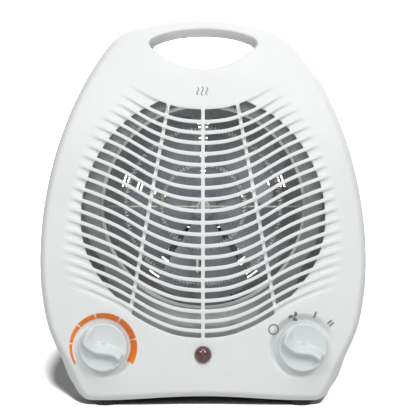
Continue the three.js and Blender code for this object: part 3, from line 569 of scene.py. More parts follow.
def grille_slots():
    """Outlines of the open slots, each cut into bays by the ribs."""
    xs = np.arange(-82, 82.01, 0.25)
    outlines = []
    for slot_top, slot_bottom in SLOTS:
        rise = bar_rise(np.abs(xs))
        top = np.minimum(slot_top + rise, open_top(xs))
        bottom = np.maximum(slot_bottom + rise, open_bottom(xs))
        is_open = (top - bottom > 0.15) & (np.abs(xs) < OPEN_HALF_WIDTH - 0.05)
        if not is_open.any():
            continue
        first, last = np.where(is_open)[0][[0, -1]]
        span = slice(first, last + 1)
        slot = np.vstack([np.column_stack([xs[span], top[span]]),
                          np.column_stack([xs[span], bottom[span]])[::-1]])
        for sides in BAYS:
            bay = slot
            for side in sides:
                bay = clip(bay, side) if bay is not None else None
            if bay is None:
                continue
            width, height = bay.max(0) - bay.min(0)
            if width < 2.5 or height < 1.2 or abs(signed_area(bay)) < 6:
                continue
            rounded = round_corners(bay)
            if rounded is not None:
                outlines.append(rounded)
    return outlines


def groove(x, z):
    """Depth of the fading grooves that carry on outside the open grille."""
    x = np.abs(x)
    level = z - bar_rise(x)
    total = np.zeros_like(x)
    for k, ((top, bottom), start, end) in enumerate(zip(SLOTS, SLOT_ENDS, GROOVE_END)):
        across = (level - bottom) / (top - bottom)
        near = (across > -0.12) & (across < 1.12)
        section = smoothstep((across[near] + 0.1) / 0.34) * smoothstep((1.1 - across[near]) / 0.34)
        t = np.clip((x[near] - start) / (end + 3 - start), 0, 1)
        full = 2.6 if k > 0 else 2.0
        fading = np.where(x[near] < start + 0.01, full, full * (1 - t) ** 1.25)
        total[near] = np.maximum(total[near], fading * section)
    return total


# ------------------------------------------------------------------ faces of the shells
def front_y(x, z):
    """Front face: crowned form with the knob seats, a dip round the lamp and the grooves."""
    depth = form_depth(front_depth, x, z)
    relief = np.zeros_like(x)
    for side in (-1, 1):
        d = np.hypot(x - side * KNOB_X, z - KNOB_Z)
        relief += np.maximum(depth + SEAT_Y, 0) * (1 - smoothstep((d - SEAT_R - 0.1) / 5.3))
    relief += 0.45 * (1 - smoothstep((np.hypot(x, z - LAMP_Z) - 6.0) / 2.6))
    relief += groove(x, z) * (np.abs(x) > 24)
    return -(depth - relief)


def rear_y(x, z):
    """Rear face: crowned form with the round intake field and the low panel sunk in it."""
    intake = 0.9 * (1 - smoothstep((np.hypot(x, z - FAN_Z) - 66.0) / 2.2))
    dx = np.maximum(np.abs(x - PANEL_X) - PANEL_HALF_X, 0)
    dz = np.maximum(np.abs(z - PANEL_Z) - PANEL_HALF_Z, 0)
    panel = 0.5 * (1 - smoothstep((np.hypot(dx, dz) - 3.6) / 0.8))
    return form_depth(rear_depth, x, z) - (intake + panel)


# ------------------------------------------------------------------ shells
# A round hole: rounded lip, bore, further (radius, y) rows of a well, and a last ring that
# stands end_step beyond the inner skin
RoundHole = namedtuple("RoundHole", "x z bore lip count end_radius end_step well",
                       defaults=[()])


def plain_hole(x, z, bore, lip_radius, count):
    return RoundHole(x, z, bore, lip_radius, count, bore, 0.2)


def skirt_rows(sign, profile):
    """Side wall of one shell from the parting plane to the face, as (outline, y) rows."""
    rows = [(OUTLINE, sign * SPLIT),
            (outline_inset(0.02, 0.25), sign * (SPLIT + 0.02)),
            (outline_inset(0.03, 0), sign * (SPLIT + 0.75))]
    for part in (0.2, 0.4, 0.6):
        outline = outline_inset(part, 0)
        depth = form_depth(profile, *outline.T)
        rows.append((outline, sign * (depth - EDGE_DROP) * part / 0.8))
    for angle in map(math.radians, (0, 12, 24, 36, 48, 60, 70, 80, 90)):
        inset = EDGE_R * (1 - math.cos(angle))
        drop = EDGE_DROP * (1 - math.sin(angle))
        outline = outline_inset(0.8 + 0.2 * min(1.0, inset / 1.3), inset)
        rows.append((outline, sign * (form_depth(profile, *outline.T) - drop)))
    return rows


def build_shell(sign, profile, face_y, round_holes, slots, slot_lip, guides, free, gap):
    """One shell, closed; sign is -1 for the front and 1 for the rear."""
    is_front = sign < 0
    skirt = skirt_rows(sign, profile)
    holes = [grip_loop(GRIP_LIP)]
    holes += [circle(hole.bore + hole.lip, hole.x, hole.z, hole.count) for hole in round_holes]
    holes += [slot + loop_normals(slot) * slot_lip for slot in slots]
    points, triangles, loops = triangulate(skirt[-1][0], free, gap, holes, guides)
    y_out = face_y(*points.T)
    y_in = sign * np.maximum(sign * y_out - WALL, SPLIT + 1.0)
    shell = Solid()
    outer, inner = shell.plate(points, triangles, y_out, y_in, flip=not is_front)

    def join(loop, rows, is_hole):
        """Walls from the outer skin's loop through the rows to the inner skin's loop."""
        flip = (anticlockwise(points[loop]) == is_front) != is_hole
        shell.strips([[outer[k] for k in loop]] + rows + [[inner[k] for k in loop]], flip)

    def sunk_row(outline, drop):
        return shell.row(outline, face_y(*outline.T) - sign * drop)

    # side wall
    outside = [shell.row(outline, y) for outline, y in skirt[:-1]]
    inside = []
    for inset, drop in ((WALL + 1.0, 3.2), (WALL + 0.15, 5.5), (WALL, 9.0)):
        outline = outline_inset(0.9, inset)
        inside.append(shell.row(outline, sign * (form_depth(profile, *outline.T) - drop)))
    inside.append(shell.row(outline_inset(0, WALL), sign * SPLIT))
    join(loops[0], outside[::-1] + inside[::-1], False)

    # tube of the grip hole
    edge = grip_loop(0)
    rows = [sunk_row(grip_loop(out), drop) for out, drop in lip(GRIP_LIP, (20, 40, 60, 90))]
    edge_y = face_y(*edge.T) - sign * GRIP_LIP
    rows += [shell.row(edge, edge_y * (1 - t)) for t in (0.3, 0.65)]
    rows += [shell.row(edge, sign * (SPLIT + 0.55)),
             shell.row(grip_loop(0.3), sign * SPLIT),
             shell.row(grip_loop(2.4), sign * SPLIT),
             sunk_row(grip_loop(2.4), WALL + 1.2)]
    join(loops[1], rows, True)

    for hole, loop in zip(round_holes, loops[2:]):
        def ring(radius):
            return circle(radius, hole.x, hole.z, hole.count)
        rows = [sunk_row(ring(hole.bore + out), drop)
                for out, drop in lip(hole.lip, (30, 60, 90))]
        rows += [shell.row(ring(radius), y) for radius, y in hole.well]
        rows.append(shell.row(ring(hole.end_radius), y_in[loop] + sign * hole.end_step))
        join(loop, rows, True)

    for slot, loop in zip(slots, loops[2 + len(round_holes):]):
        normals = loop_normals(slot)
        rows = [shell.row(slot + normals * out, y_out[loop] - sign * drop)
                for out, drop in lip(slot_lip, (35, 65, 90))]
        rows.append(shell.row(slot + normals * 0.12, y_in[loop] + sign * 0.25))
        join(loop, rows, True)
    return shell.oriented()


def lattice(step=3.1):
    """Staggered points over the whole face."""
    return np.array([(x, z) for j, z in enumerate(np.arange(2, 264, step * 0.87))
                     for x in np.arange(-109 + (j % 2) * step / 2, 109, step)])


def groove_points():
    """Fine points along the fading grooves, denser on their flanks."""
    rows = []
    for (top, bottom), start, end in zip(SLOTS, SLOT_ENDS, GROOVE_END):
        xs = np.arange(start - 9.0, end + 4, 1.25)
        for across in (-0.16, -0.1, -0.03, 0.05, 0.14, 0.24, 0.4, 0.6, 0.76, 0.86, 0.95,
                       1.03, 1.1, 1.16):
            z = bottom + across * (top - bottom) + bar_rise(xs)
            rows += [np.column_stack([side * xs, z]) for side in (-1, 1)]
    return np.vstack(rows)


def thinned(points, gap, cell=0.45):
    """Drops each point that comes nearer than the gap to one kept before it."""
    cells, kept = {}, []
    for p in points:
        i, j = int(p[0] // cell), int(p[1] // cell)
        near = [cells.get((i + a, j + b)) for a in (-1, 0, 1) for b in (-1, 0, 1)]
        if any(q is not None and np.hypot(*(q - p)) < gap for q in near):
            continue
        cells[i, j] = p
        kept.append(p)
    return kept


def build_front():
    gap = 0.42
    fine = groove_points()
    free = np.vstack([clear_of(lattice(), fine, 1.5), thinned(fine, gap)])
    guides = []
    for side in (-1, 1):
        for step in (0.0, 0.4, 0.9, 1.5, 2.2, 2.9, 3.6, 4.3, 4.9, 5.5):
            radius = SEAT_R + step
            guides.append(circle(radius, side * KNOB_X, KNOB_Z, 112, 0.01 * radius))
    guides += [outline_inset(1, 5.4), grip_loop(3.0)]
    holes = [plain_hole(0, LAMP_Z, LENS_R + 0.12, 0.63, 48)]
    holes += [plain_hole(side * KNOB_X, KNOB_Z, 3.9, 0.3, 32) for side in (-1, 1)]
    return build_shell(-1, front_depth, front_y, holes, grille_slots(), 0.45, guides, free, gap)


def intake_slots():
    """Rings of arc slots about the fan axis; their ends are parallel to the spokes."""
    centre, half_gap = (0, FAN_Z), 1.6
    slots = []
    for ring, count in ((17.0, 3), (27.5, 3), (38.0, 6), (48.5, 6), (59.0, 6)):
        # a thin ring halves each slot
        for low, high in ((ring - 1.85, ring - 0.85), (ring + 0.85, ring + 1.85)):
            for i in range(count):
                start = math.pi / 6 + 2 * math.pi * i / count
                end = start + 2 * math.pi / count
                outer = np.linspace(start + half_gap / high, end - half_gap / high, 60)
                inner = np.linspace(end - half_gap / low, start + half_gap / low, 60)
                outline = np.vstack([arc(centre, high, outer), arc(centre, low, inner)])
                slots.append(round_corners(outline, 0.6, 2.4))
    return slots


def panel_loop(outset):
    low = (PANEL_X - PANEL_HALF_X, PANEL_Z - PANEL_HALF_Z)
    high = (PANEL_X + PANEL_HALF_X, PANEL_Z + PANEL_HALF_Z)
    return resample(rounded_rectangle(low, high, PANEL_CORNER + outset, 9), 76, True)


def build_rear():
    guides = [circle(radius, 0, FAN_Z, 200) for radius in (65.4, 66.6, 67.6, 68.7)]
    guides += [panel_loop(outset) for outset in (-0.6, 0.0, 0.6)]
    guides.append(grip_loop(3.2))
    # each screw well has a floor with a small hole, inside a wider boss
    well = [(3.4, 9.3), (3.1, 9.0), (2.0, 9.0), (2.0, 2.2), (4.9, 2.0)]
    holes = [plain_hole(CORD_X, CORD_Z, 5.4, 0.6, 40)]
    holes += [RoundHole(x, z, 3.4, 0.7, 28, 5.0, -0.5, well) for x, z in SCREWS]
    return build_shell(1, rear_depth, rear_y, holes, intake_slots(), 0.3, guides, lattice(), 1.1)


# ------------------------------------------------------------------ knobs
# Centre line of the S-shaped grip on a knob, from its upper left end (x, z from the axis)
CREST = spline([(-15.0, 10.6), (-14.0, 7.2), (-12.4, 3.6), (-9.6, 0.2), (-5.8, -2.3),
                (-1.0, -3.5), (3.8, -4.0), (7.8, -5.3), (10.8, -7.6), (13.0, -10.0),
                (14.8, -12.4)], 12)


def crest_height(points):
    """Height of the S-shaped grip over the knob's face."""
    squares = ((points[:, None, :] - CREST[None]) ** 2).sum(2)
    k = squares.argmin(1)
    distance = np.sqrt(squares[np.arange(len(points)), k])
    t = k / (len(CREST) - 1)
    j = np.clip(k, 1, len(CREST) - 2)
    along = CREST[j + 1] - CREST[j - 1]
    offset = points - CREST[k]
    side = along[:, 0] * offset[:, 1] - along[:, 1] * offset[:, 0]
    d = np.where(side > 0, distance, -distance)         # positive on the upper right
    flat = 1.3 + 2.2 * (1 - t) ** 1.8                   # rounded crest, broad at the head
    upper = 1 - smoothstep((d - flat * 0.4) / (flat + 4.9 - 1.5 * t))
    lower = 1 - smoothstep((-d - 0.1) / (2.0 + 1.6 * (1 - t)))
    height = (7.6 - 1.5 * t) * np.where(d > 0, upper, lower)
    radius = np.hypot(points[:, 0], points[:, 1])
    return height * (1 - smoothstep((radius - (KNOB_R - 3.4)) / 2.9))


def build_knob(x):
    knob = Solid()
    count = 132
    face_r = KNOB_R - KNOB_RIM
    rows = []
    for radius in [*np.linspace(0.9, face_r - 0.8, 40), face_r - 0.35, face_r]:
        ring = circle(radius, 0, 0, count)
        height = crest_height(ring) - KNOB_DISH * (1 - (radius / face_r) ** 2)
        rows.append(knob.row(ring + [x, KNOB_Z], KNOB_FACE - height))
    middle_y = KNOB_FACE - float(crest_height(np.zeros((1, 2)))[0]) + KNOB_DISH
    knob.fan(knob.add([(x, middle_y, KNOB_Z)])[0], rows[0], True)
    # rim, side wall, hollow underside and the socket on the axis: (radius, y)
    profile = [(face_r + KNOB_RIM * math.sin(a), KNOB_FACE + KNOB_RIM * (1 - math.cos(a)))
               for a in map(math.radians, (22, 45, 68, 90))]
    profile += [(KNOB_R, -52.4), (KNOB_R, KNOB_BASE - 0.35), (KNOB_R - 0.35, KNOB_BASE),
                (12.7, KNOB_BASE), (12.4, KNOB_BASE - 0.3), (12.2, KNOB_BASE - 4.4),
                (5.3, KNOB_BASE - 4.4), (5.2, KNOB_BASE - 3.8), (3.4, KNOB_BASE - 3.6),
                (3.3, KNOB_BASE - 6.4)]
    rows += [knob.row(circle(radius, x, KNOB_Z, count), y) for radius, y in profile]
    knob.strips(rows)
    knob.cap(rows[-1])
    return knob.oriented()


# ------------------------------------------------------------------ prints on the front
def build_print(outlines, lift, step):
    """Thin films that follow the front face."""
    film = Solid()
    for outline in outlines:
        (x_low, z_low), (x_high, z_high) = outline.min(0), outline.max(0)
        free = grid(x_low, x_high, z_low, z_high, step)
        points, triangles, loops = triangulate(outline, free, step * 0.45)
        y = front_y(*points.T)
        film.plate(points, triangles, y - lift, y + 0.12, loops[0])
    return film


def band(centre, outer_r, width, angles):
    """Outline of a curved band; its width may vary along it."""
    return np.vstack([arc(centre, outer_r, angles), arc(centre, outer_r - width, angles)[::-1]])


def dial_scale():
    """Six segments round the thermostat knob, thicker towards the hot end."""
    bounds_deg = [212.0, 174.7, 139.6, 104.5, 59.5, 14.0, -30.6]
    half_gap = 1.0
    segments = []
    for i in range(6):
        start = bounds_deg[i] - (0.0 if i == 0 else half_gap)
        end = bounds_deg[i + 1] + (0.0 if i == 5 else half_gap)
        count = max(8, int(abs(start - end) / 2.5))
        angles = np.linspace(math.radians(start), math.radians(end), count)
        part = (bounds_deg[0] - np.degrees(angles)) / (bounds_deg[0] - bounds_deg[-1])
        width = np.interp(part, [0, 0.15, 0.3, 0.45, 0.63, 0.8, 1],
                          [1.2, 2.0, 2.9, 3.6, 4.3, 4.6, 4.6])
        segments.append(band((-KNOB_X, KNOB_Z), 22.6, width, angles))
    return segments


def selector_symbols():
    """Open ring, three-blade fan, one bar and two bars round the selector knob."""
    # the ring is in two halves so that each is a plain outline
    outlines = [band((46.7, 52.7), 3.7, 3.7 - 2.75,
                     np.radians(np.linspace(start + 0.9, start + 179.1, 24)))
                for start in (0, 180)]
    for k in range(3):
        a = math.radians(175 + 120 * k)
        centre = np.array([60.0, 61.0]) + 2.1 * np.array([math.cos(a), math.sin(a)])
        t = np.linspace(0, 2 * np.pi, 20, endpoint=False)
        u = 1.8 * np.cos(t)
        w = 1.15 * np.sin(t) + 0.35 * np.cos(t) ** 2
        cos_a, sin_a = math.cos(a + 0.5), math.sin(a + 0.5)
        outlines.append(centre + np.column_stack([u * cos_a - w * sin_a, u * sin_a + w * cos_a]))
    # bars set radially about the knob: centre, half length, offsets to the side
    for x, z, half_length, offsets in ((74.1, 62.3, 2.2, (0,)), (84.5, 56.7, 1.9, (-1.05, 1.05))):
        along = np.array([x - KNOB_X, z - KNOB_Z])
        along /= np.linalg.norm(along)
        across = np.array([-along[1], along[0]])
        t = np.linspace(-1, 1, 9)[:, None]
        half_width_t = 0.6 * (1 + 0.05 * (1 - t ** 2))      # barely barrelled
        for offset in offsets:
            line = np.array([x, z]) + across * offset + along * half_length * t
            outlines.append(np.vstack([line + across * half_width_t,
                                       (line - across * half_width_t)[::-1]]))
    return outlines


def stroke(points, width):
    """Outline of a round-ended line through the points."""
    along = np.gradient(points, axis=0)
    along /= np.linalg.norm(along, axis=1)[:, None]
    side = np.column_stack([-along[:, 1], along[:, 0]]) * width / 2

    def end(point, direction):
        start = math.atan2(direction[1], direction[0])
        turns = np.linspace(math.pi / 2, -math.pi / 2, 7)[1:-1]
        return arc(point, width / 2, start + turns)

    return np.vstack([points + side, end(points[-1], along[-1]),
                      (points - side)[::-1], end(points[0], -along[0])])


def heat_sign():
    """Three upright waves below the grip."""
    s = np.linspace(-1, 1, 17)
    waves = []
    for k, half_height in ((-1, 2.3), (0, 2.9), (1, 2.3)):
        x = -0.5 + k * 3.0 + 0.62 * np.sin(s * math.pi)
        waves.append(stroke(np.column_stack([x, 210.6 + s * half_height]), 0.75))
    return waves


# ------------------------------------------------------------------ turned and swept pieces
def revolve(profile, centre, axis=1, count=64, capped=False):
    """Solid of revolution about the axis (0 x, 1 y, 2 z) through centre. The profile lists
    (radius, place along the axis); it is closed on itself unless it ends on the axis or is
    capped."""
    solid = Solid()
    angles = np.linspace(0, 2 * np.pi, count, endpoint=False)
    across, up = [k for k in range(3) if k != axis]
    rows = []
    for radius, along in profile:
        on_axis = radius < 1e-6
        points = np.tile(np.array(centre, float), (1 if on_axis else count, 1))
        points[:, axis] = along
        if not on_axis:
            points[:, across] += radius * np.cos(angles)
            points[:, up] += radius * np.sin(angles)
        rows.append(solid.add(points))
    pairs = list(zip(rows, rows[1:]))
    if not capped and not (len(rows[0]) == 1 and len(rows[-1]) == 1):
        pairs.append((rows[-1], rows[0]))
    for a, b in pairs:
        if len(a) == 1:
            solid.fan(a[0], b)
        elif len(b) == 1:
            solid.fan(b[0], a, True)
        else:
            solid.strip(a, b)
    if capped:
        solid.cap(rows[0], True)
        solid.cap(rows[-1])
    return solid.oriented()


def sweep(path, radius, count, closed=False):
    """Round bar along a path."""
    if closed:
        tangents = np.roll(path, -1, 0) - np.roll(path, 1, 0)
    else:
        tangents = np.gradient(path, axis=0)
    tangents /= np.linalg.norm(tangents, axis=1)[:, None]
    reference = [0, 0, 1.0] if abs(tangents[0][2]) < 0.9 else [1.0, 0, 0]
    u = np.cross(tangents[0], np.array(reference))
    u /= np.linalg.norm(u)
    angles = np.linspace(0, 2 * np.pi, count, endpoint=False)
    bar = Solid()
    rows = []
    for point, tangent in zip(path, tangents):
        u = u - tangent * np.dot(u, tangent)
        u /= np.linalg.norm(u)
        w = np.cross(tangent, u)
        rows.append(bar.add(point + (radius * np.cos(angles))[:, None] * u
                            + (radius * np.sin(angles))[:, None] * w))
    bar.strips(rows)
    if closed:
        bar.strip(rows[-1], rows[0])
    else:
        bar.cap(rows[0], True)
        bar.cap(rows[-1])
    return bar.oriented()


def build_shaft(x):
    profile = [(0, -55.1), (2.3, -55.1), (2.95, -54.5), (2.95, -51.6), (2.6, -51.3),
               (2.6, -50.5), (2.95, -50.2), (3.0, -47.0), (3.0, -36.2), (2.6, -35.8), (0, -35.8)]
    return revolve(profile, (x, 0, KNOB_Z), count=48)


def build_lens():
    """Domed lamp lens with a hollow stem behind it."""
    face = -float(form_depth(front_depth, 0.0, LAMP_Z))
    profile = [(0, face - 3.45)]
    profile += [(LENS_R * math.sin(t), face - 0.2 - 3.25 * math.cos(t) ** 1.15)
                for t in np.radians(np.linspace(8, 86, 16))]
    stem = [(LENS_R - 0.02, 0.1), (4.6, 0.4), (4.5, 7.2), (4.35, 7.4), (3.5, 7.4),
            (3.4, 7.1), (3.4, 0.9), (0, 0.5)]
    profile += [(radius, face + y) for radius, y in stem]
    return revolve(profile, (0, 0, LAMP_Z), count=72)


def build_coil(radius):
    """Wound resistance wire laid in a ring, as one closed bar."""
    winding_r, wire_r, pitch = 2.2, 0.28, 2.3
    turns = int(round(2 * math.pi * radius / pitch))
    t = np.linspace(0, 2 * np.pi, turns * 11, endpoint=False)
    r = radius + winding_r * np.cos(turns * t)
    y = -33 + winding_r * np.sin(turns * t)
    return sweep(np.column_stack([r * np.cos(t), y, FAN_Z + r * np.sin(t)]), wire_r, 5, True)


def build_fan():
    """Five-blade pressed impeller: twisted, dished blades on a turned hub."""
    hub = [(2.8, -13.0), (8.2, -13.0), (9.0, -12.2), (9.0, -1.8), (8.2, -1.0), (2.8, -1.0)]
    wheel = revolve(hub, (0, 0, FAN_Z))
    # one edge of a blade from root to tip (out from the axis, across the blade)
    half = [(6, -5.2), (16.8, -10.9), (25.2, -16.3), (33.5, -21.8), (41.9, -27.2),
            (48.5, -30.9), (53, -30.6), (57, -26.9), (61.6, -16.4), (63.8, 0)]
    outline = half + [(out, -across) for out, across in half[-2::-1]]
    edge = resample(spline(outline + [outline[0]], 5)[:-1], 120, True)
    blade, triangles, loops = triangulate(edge, grid(7, 64, -31, 31, 2.6), 1.1)
    twist = 0.2
    out, across = blade.T
    camber = 1.5 * (1 - (across / 31) ** 2) * np.clip((out - 8) / 20, 0, 1)
    y = -7 + across * math.sin(twist) - camber
    across = across * math.cos(twist)
    for k in range(5):
        a = 2 * math.pi * (k - 0.25) / 5
        x = out * math.cos(a) - across * math.sin(a)
        z = FAN_Z + (out * math.sin(a) + across * math.cos(a))
        wheel.plate(np.column_stack([x, z]), triangles, y - 0.45, y + 0.45, loops[0])
    return wheel


def build_duct():
    """Rolled sheet ring with its front flange and lower apron."""
    centre = np.array([0, FAN_Z])
    flange = arc(centre, 79, np.radians(np.linspace(-20, 200, 150)))
    apron = spline([(-72.9, 105.0), (-68.0, 98.0), (-61.5, 80.0), (-54, 63), (-49.5, 52),
                    (-43.5, 45.0)], 8)
    base = np.column_stack([np.linspace(-40, 40, 34), np.full(34, 44.2)])
    outline = resample(np.vstack([flange, apron, base, mirrored(apron)]), 420, True)
    swage = [np.column_stack([np.linspace(-38, 38, 24), np.full(24, z)])
             for z in (50.0, 51.4, 52.8)]
    points, triangles, loops = triangulate(outline, grid(-80, 80, 44, 214, 4), 1.2,
                                           [circle(DUCT_R, 0, FAN_Z, 200)], (), swage)
    # the apron is drawn forward to the panel, with a stiffening swage across it
    x, z = points.T
    swage_depth = (0.7 * np.exp(-((z - 51.4) / 1.3) ** 2)
                   * (1 - smoothstep((np.abs(x) - 33) / 5)))
    y = DUCT_FRONT - swage_depth - 8.6 * smoothstep((64.5 - z) / 15)
    duct = Solid()
    front, back = duct.plate(points, triangles, y, y + 0.9, loops[0])
    hole = loops[1]
    spokes = (points[hole] - centre) / DUCT_R
    # bore and outside of the ring, from the front flange to the back and forward again
    profile = [(-0.25, DUCT_FRONT + 0.5), (-0.3, DUCT_FRONT + 1.5), (-0.3, -30), (-0.3, -18),
               (-0.3, -8), (-0.3, DUCT_BACK - 0.3), (0, DUCT_BACK), (0.6, DUCT_BACK),
               (0.8, DUCT_BACK - 0.3), (0.8, DUCT_FRONT + 3.0), (0.4, DUCT_FRONT + 1.2)]
    rows = [duct.row(spokes * (DUCT_R + out) + centre, y) for out, y in profile]
    duct.strips([[front[k] for k in hole]] + rows + [[back[k] for k in hole]],
                not anticlockwise(points[hole]))
    return duct.oriented()


def build_screw(x, z):
    """Pan head with a cross recess facing back; threaded shank in front of it."""
    seat_y, head_r, head_h, recess = 9.6, 2.9, 1.9, 1.15
    count = 72
    screw = Solid()

    def add_ring(radius, y):
        return screw.row(circle(radius, x, z, count), y)

    rows = []
    for radius in [*np.linspace(0.12, head_r * 0.82, 22), head_r * 0.9, head_r * 0.97, head_r]:
        part = radius / head_r
        dome = head_h - 0.35 * part ** 2 - 0.9 * max(0, (part - 0.85) / 0.15) ** 2
        ring = np.abs(circle(radius, 0, 0, count))
        cut = (recess * (1 - smoothstep((ring.min(1) - 0.34) / 0.16))
               * (1 - smoothstep((ring.max(1) - 1.55) / 0.35)))
        rows.append(add_ring(radius, seat_y + (dome - cut)))
    screw.fan(screw.add([(x, seat_y + (head_h - recess), z)])[0], rows[0], True)
    rows += [add_ring(head_r, seat_y + 0.1), add_ring(head_r - 0.15, seat_y),
             add_ring(1.45, seat_y)]
    rings, length = 44, 20.0
    for k in range(rings):
        t = k / (rings - 1)
        thread = 0.3 * (0.5 + 0.5 * math.sin(t * rings * 1.25)) * (1 if t < 0.94 else 0.3)
        radius = (1.15 + thread) * (1 if t < 0.95 else 0.6)
        rows.append(add_ring(radius, seat_y - (0.4 + t * length)))
    screw.strips(rows)
    screw.cap(rows[-1])
    return screw.oriented()


def build_foot(x, y):
    """Rubber foot: treaded sole, waist through the floor and a barbed top."""
    profile = [(0, 0.55), (1.6, 0.55), (2.2, 0.4), (2.5, 0.0), (3.5, 0.0), (3.8, 0.4),
               (4.3, 0.4), (4.6, 0.0), (5.6, 0.0), (6.2, 0.25), (6.5, 0.8), (6.45, 2.4),
               (6.3, 2.8), (5.8, 3.05), (3.4, 3.1), (3.2, 3.3), (3.2, 5.9), (3.25, 6.2),
               (3.25, 6.6), (2.6, 8.9), (2.0, 9.2), (0, 9.2)]
    return revolve(profile, (x, y, 0), axis=2, count=56)


# ------------------------------------------------------------------ cord and plug
def cord_points():
    """Out of the casing, down, round the flat hank from its outside in, and to the plug."""
    z = CORD_R + 0.55
    half_step = 7.9 / 2                 # the hank tightens by this much each half turn
    hank_x, hank_y, bend_x = 25.0, 97.0, 52.0
    left, right = hank_x - 20, hank_x + 20
    radius = 21.3

    def bend(x, start, end):
        r = radius - half_step / 2
        angles = [start + (end - start) * i / 5 for i in range(6)]
        return [(x + r * math.cos(a), hank_y + r * math.sin(a), z) for a in angles]

    points = [(46, 27, 26), (46, 44, 26), (46, 60, 26), (46, 70, 26), (43, 75.5, 21),
              (37, 77.4, 10), (28, hank_y - radius + 0.6, z + 0.6), (16, hank_y - radius, z),
              (left, hank_y - radius, z)]
    for k in range(2):
        points += bend(hank_x - bend_x, -math.pi / 2 - 0.25, -math.pi * 1.5 + 0.25)
        radius -= half_step
        points += [(left, hank_y + radius, z), (right, hank_y + radius, z)]
        points += bend(hank_x + bend_x, math.pi / 2 - 0.25, -math.pi / 2 + 0.25)
        radius -= half_step
        points.append((right, hank_y - radius, z))
        if k == 0:
            points.append((left, hank_y - radius, z))
    return points + [
        (hank_x + 6, hank_y - radius + 0.4, z + 1.4), (hank_x - 8, hank_y - radius + 2, z + 7.9),
        (hank_x - 24, hank_y - 1, 11.9), (hank_x - 46, hank_y + 3, 12),
        (hank_x - 62, hank_y + 6, 12.1), (-48.5, hank_y + 8, 12.3)]


def build_cord():
    return sweep(resample(spline(cord_points(), 24), 520), CORD_R - 0.02, 26)


def build_bush():
    """Flanged sleeve round the cord, ending in four shrinking ridges."""
    profile = [(4.0, 40.0), (6.8, 40.0), (7.0, 40.2), (7.0, 41.8), (6.8, 42.0), (5.2, 42.8),
               (5.0, 43.2), (5.0, 51.6), (5.3, 52.2), (7.2, 53.9), (7.4, 54.5), (7.4, 56.6),
               (7.0, 57.2)]
    for k in range(4):
        y, less = 57.8 + 2.0 * k, 0.42 * k
        profile += [(6.6 - less, y), (5.9 - less, y + 0.25), (5.9 - less, y + 0.9),
                    (6.5 - less, y + 1.2)]
    profile += [(5.0, 65.6), (4.7, 66.0), (4.0, 66.0)]
    return revolve(profile, (CORD_X, 0, CORD_Z), count=48)


def build_plug():
    """Moulded two-pin plug with a ribbed neck and a parting ridge."""
    # distance from the cord end, towards -x
    stations = [0.2, 1.0, 2.2, 2.4, 3.4, 3.6, 4.6, 4.8, 5.8, 6.0, 7.0, 8.2, 9.6, 11.2, 13, 15,
                17.5, 20, 22.5, 25, 28, 30, 31.6, 32.5, 33.0]
    width_at = table_curve([(0.2, 4.4), (8, 5.4), (12, 9), (22, 15.5), (30, 16.4), (33, 16.0)],
                           0.2, 33)
    height_at = table_curve([(0.2, 4.4), (8, 5.2), (12, 7.0), (22, 8.0), (30, 8.1), (33, 7.8)],
                            0.2, 33)
    count, squareness = 64, 0.74
    t = np.linspace(0, 2 * np.pi, count, endpoint=False)
    c, s = np.cos(t), np.sin(t)
    plug = Solid()
    rows = []
    for d in stations:
        inset = 0.0
        if 1.5 < d < 6.5 and int(round((d - 2.2) / 1.2 * 2)) % 4 in (1, 2):
            inset = 0.55                # between the ribs of the neck
        if d >= 32.4:
            inset = 0.3 if d < 32.9 else 1.0
        half_y, half_z = float(width_at(d)) - inset, float(height_at(d)) - inset
        ridge = 0.18 * np.exp(-(s / 0.08) ** 2) * (8 < d < 32)
        waves = 0.35 * (12 < d < 24) * np.abs(c) ** 6 * math.sin(d * 2.2)
        y = (half_y + ridge + waves) * np.sign(c) * np.abs(c) ** squareness
        z = half_z * np.sign(s) * np.abs(s) ** squareness
        rows.append(plug.add(np.column_stack([np.full(count, PLUG_X - d), PLUG_Y + y,
                                              PLUG_Z + z])))
    plug.strips(rows)
    plug.cap(rows[0], True)
    plug.cap(rows[-1])
    return plug.oriented()


def build_pin(y):
    """Plug pin; the table is (radius, distance from the plug's cord end)."""
    profile = [(2.35, 28.3), (2.4, 30), (2.4, 39), (2.28, 39.4), (2.28, 40), (2.05, 49.2),
               (1.75, 49.9), (1.2, 50.25), (0.4, 50.3)]
    return revolve([(radius, PLUG_X - d) for radius, d in profile], (0, y, PLUG_Z), axis=0,
                   count=40, capped=True)


def build_tie():
    """Strap round the hank: a closed band in the y-z plane."""
    x_low, x_high = 45.2, 49.8
    (y_low, y_high), (z_low, z_high) = (70.7, 123.3), (0.06, 8.85)
    thick, corner, bevel = 0.75, 3.2, 0.18
    strap = Solid()

    def add_loop(inset, x):
        loop = rounded_rectangle((y_low + corner, z_low + corner),
                                 (y_high - corner, z_high - corner), corner - inset, 16)
        return strap.add(np.column_stack([np.full(len(loop), x), loop]))

    rows = [add_loop(inset, x) for inset, x in (
        (0, x_low + bevel), (0, x_high - bevel), (bevel, x_high), (thick - bevel, x_high),
        (thick, x_high - bevel), (thick, x_low + bevel), (thick - bevel, x_low),
        (bevel, x_low))]
    strap.strips(rows + rows[:1])
    return strap.oriented()


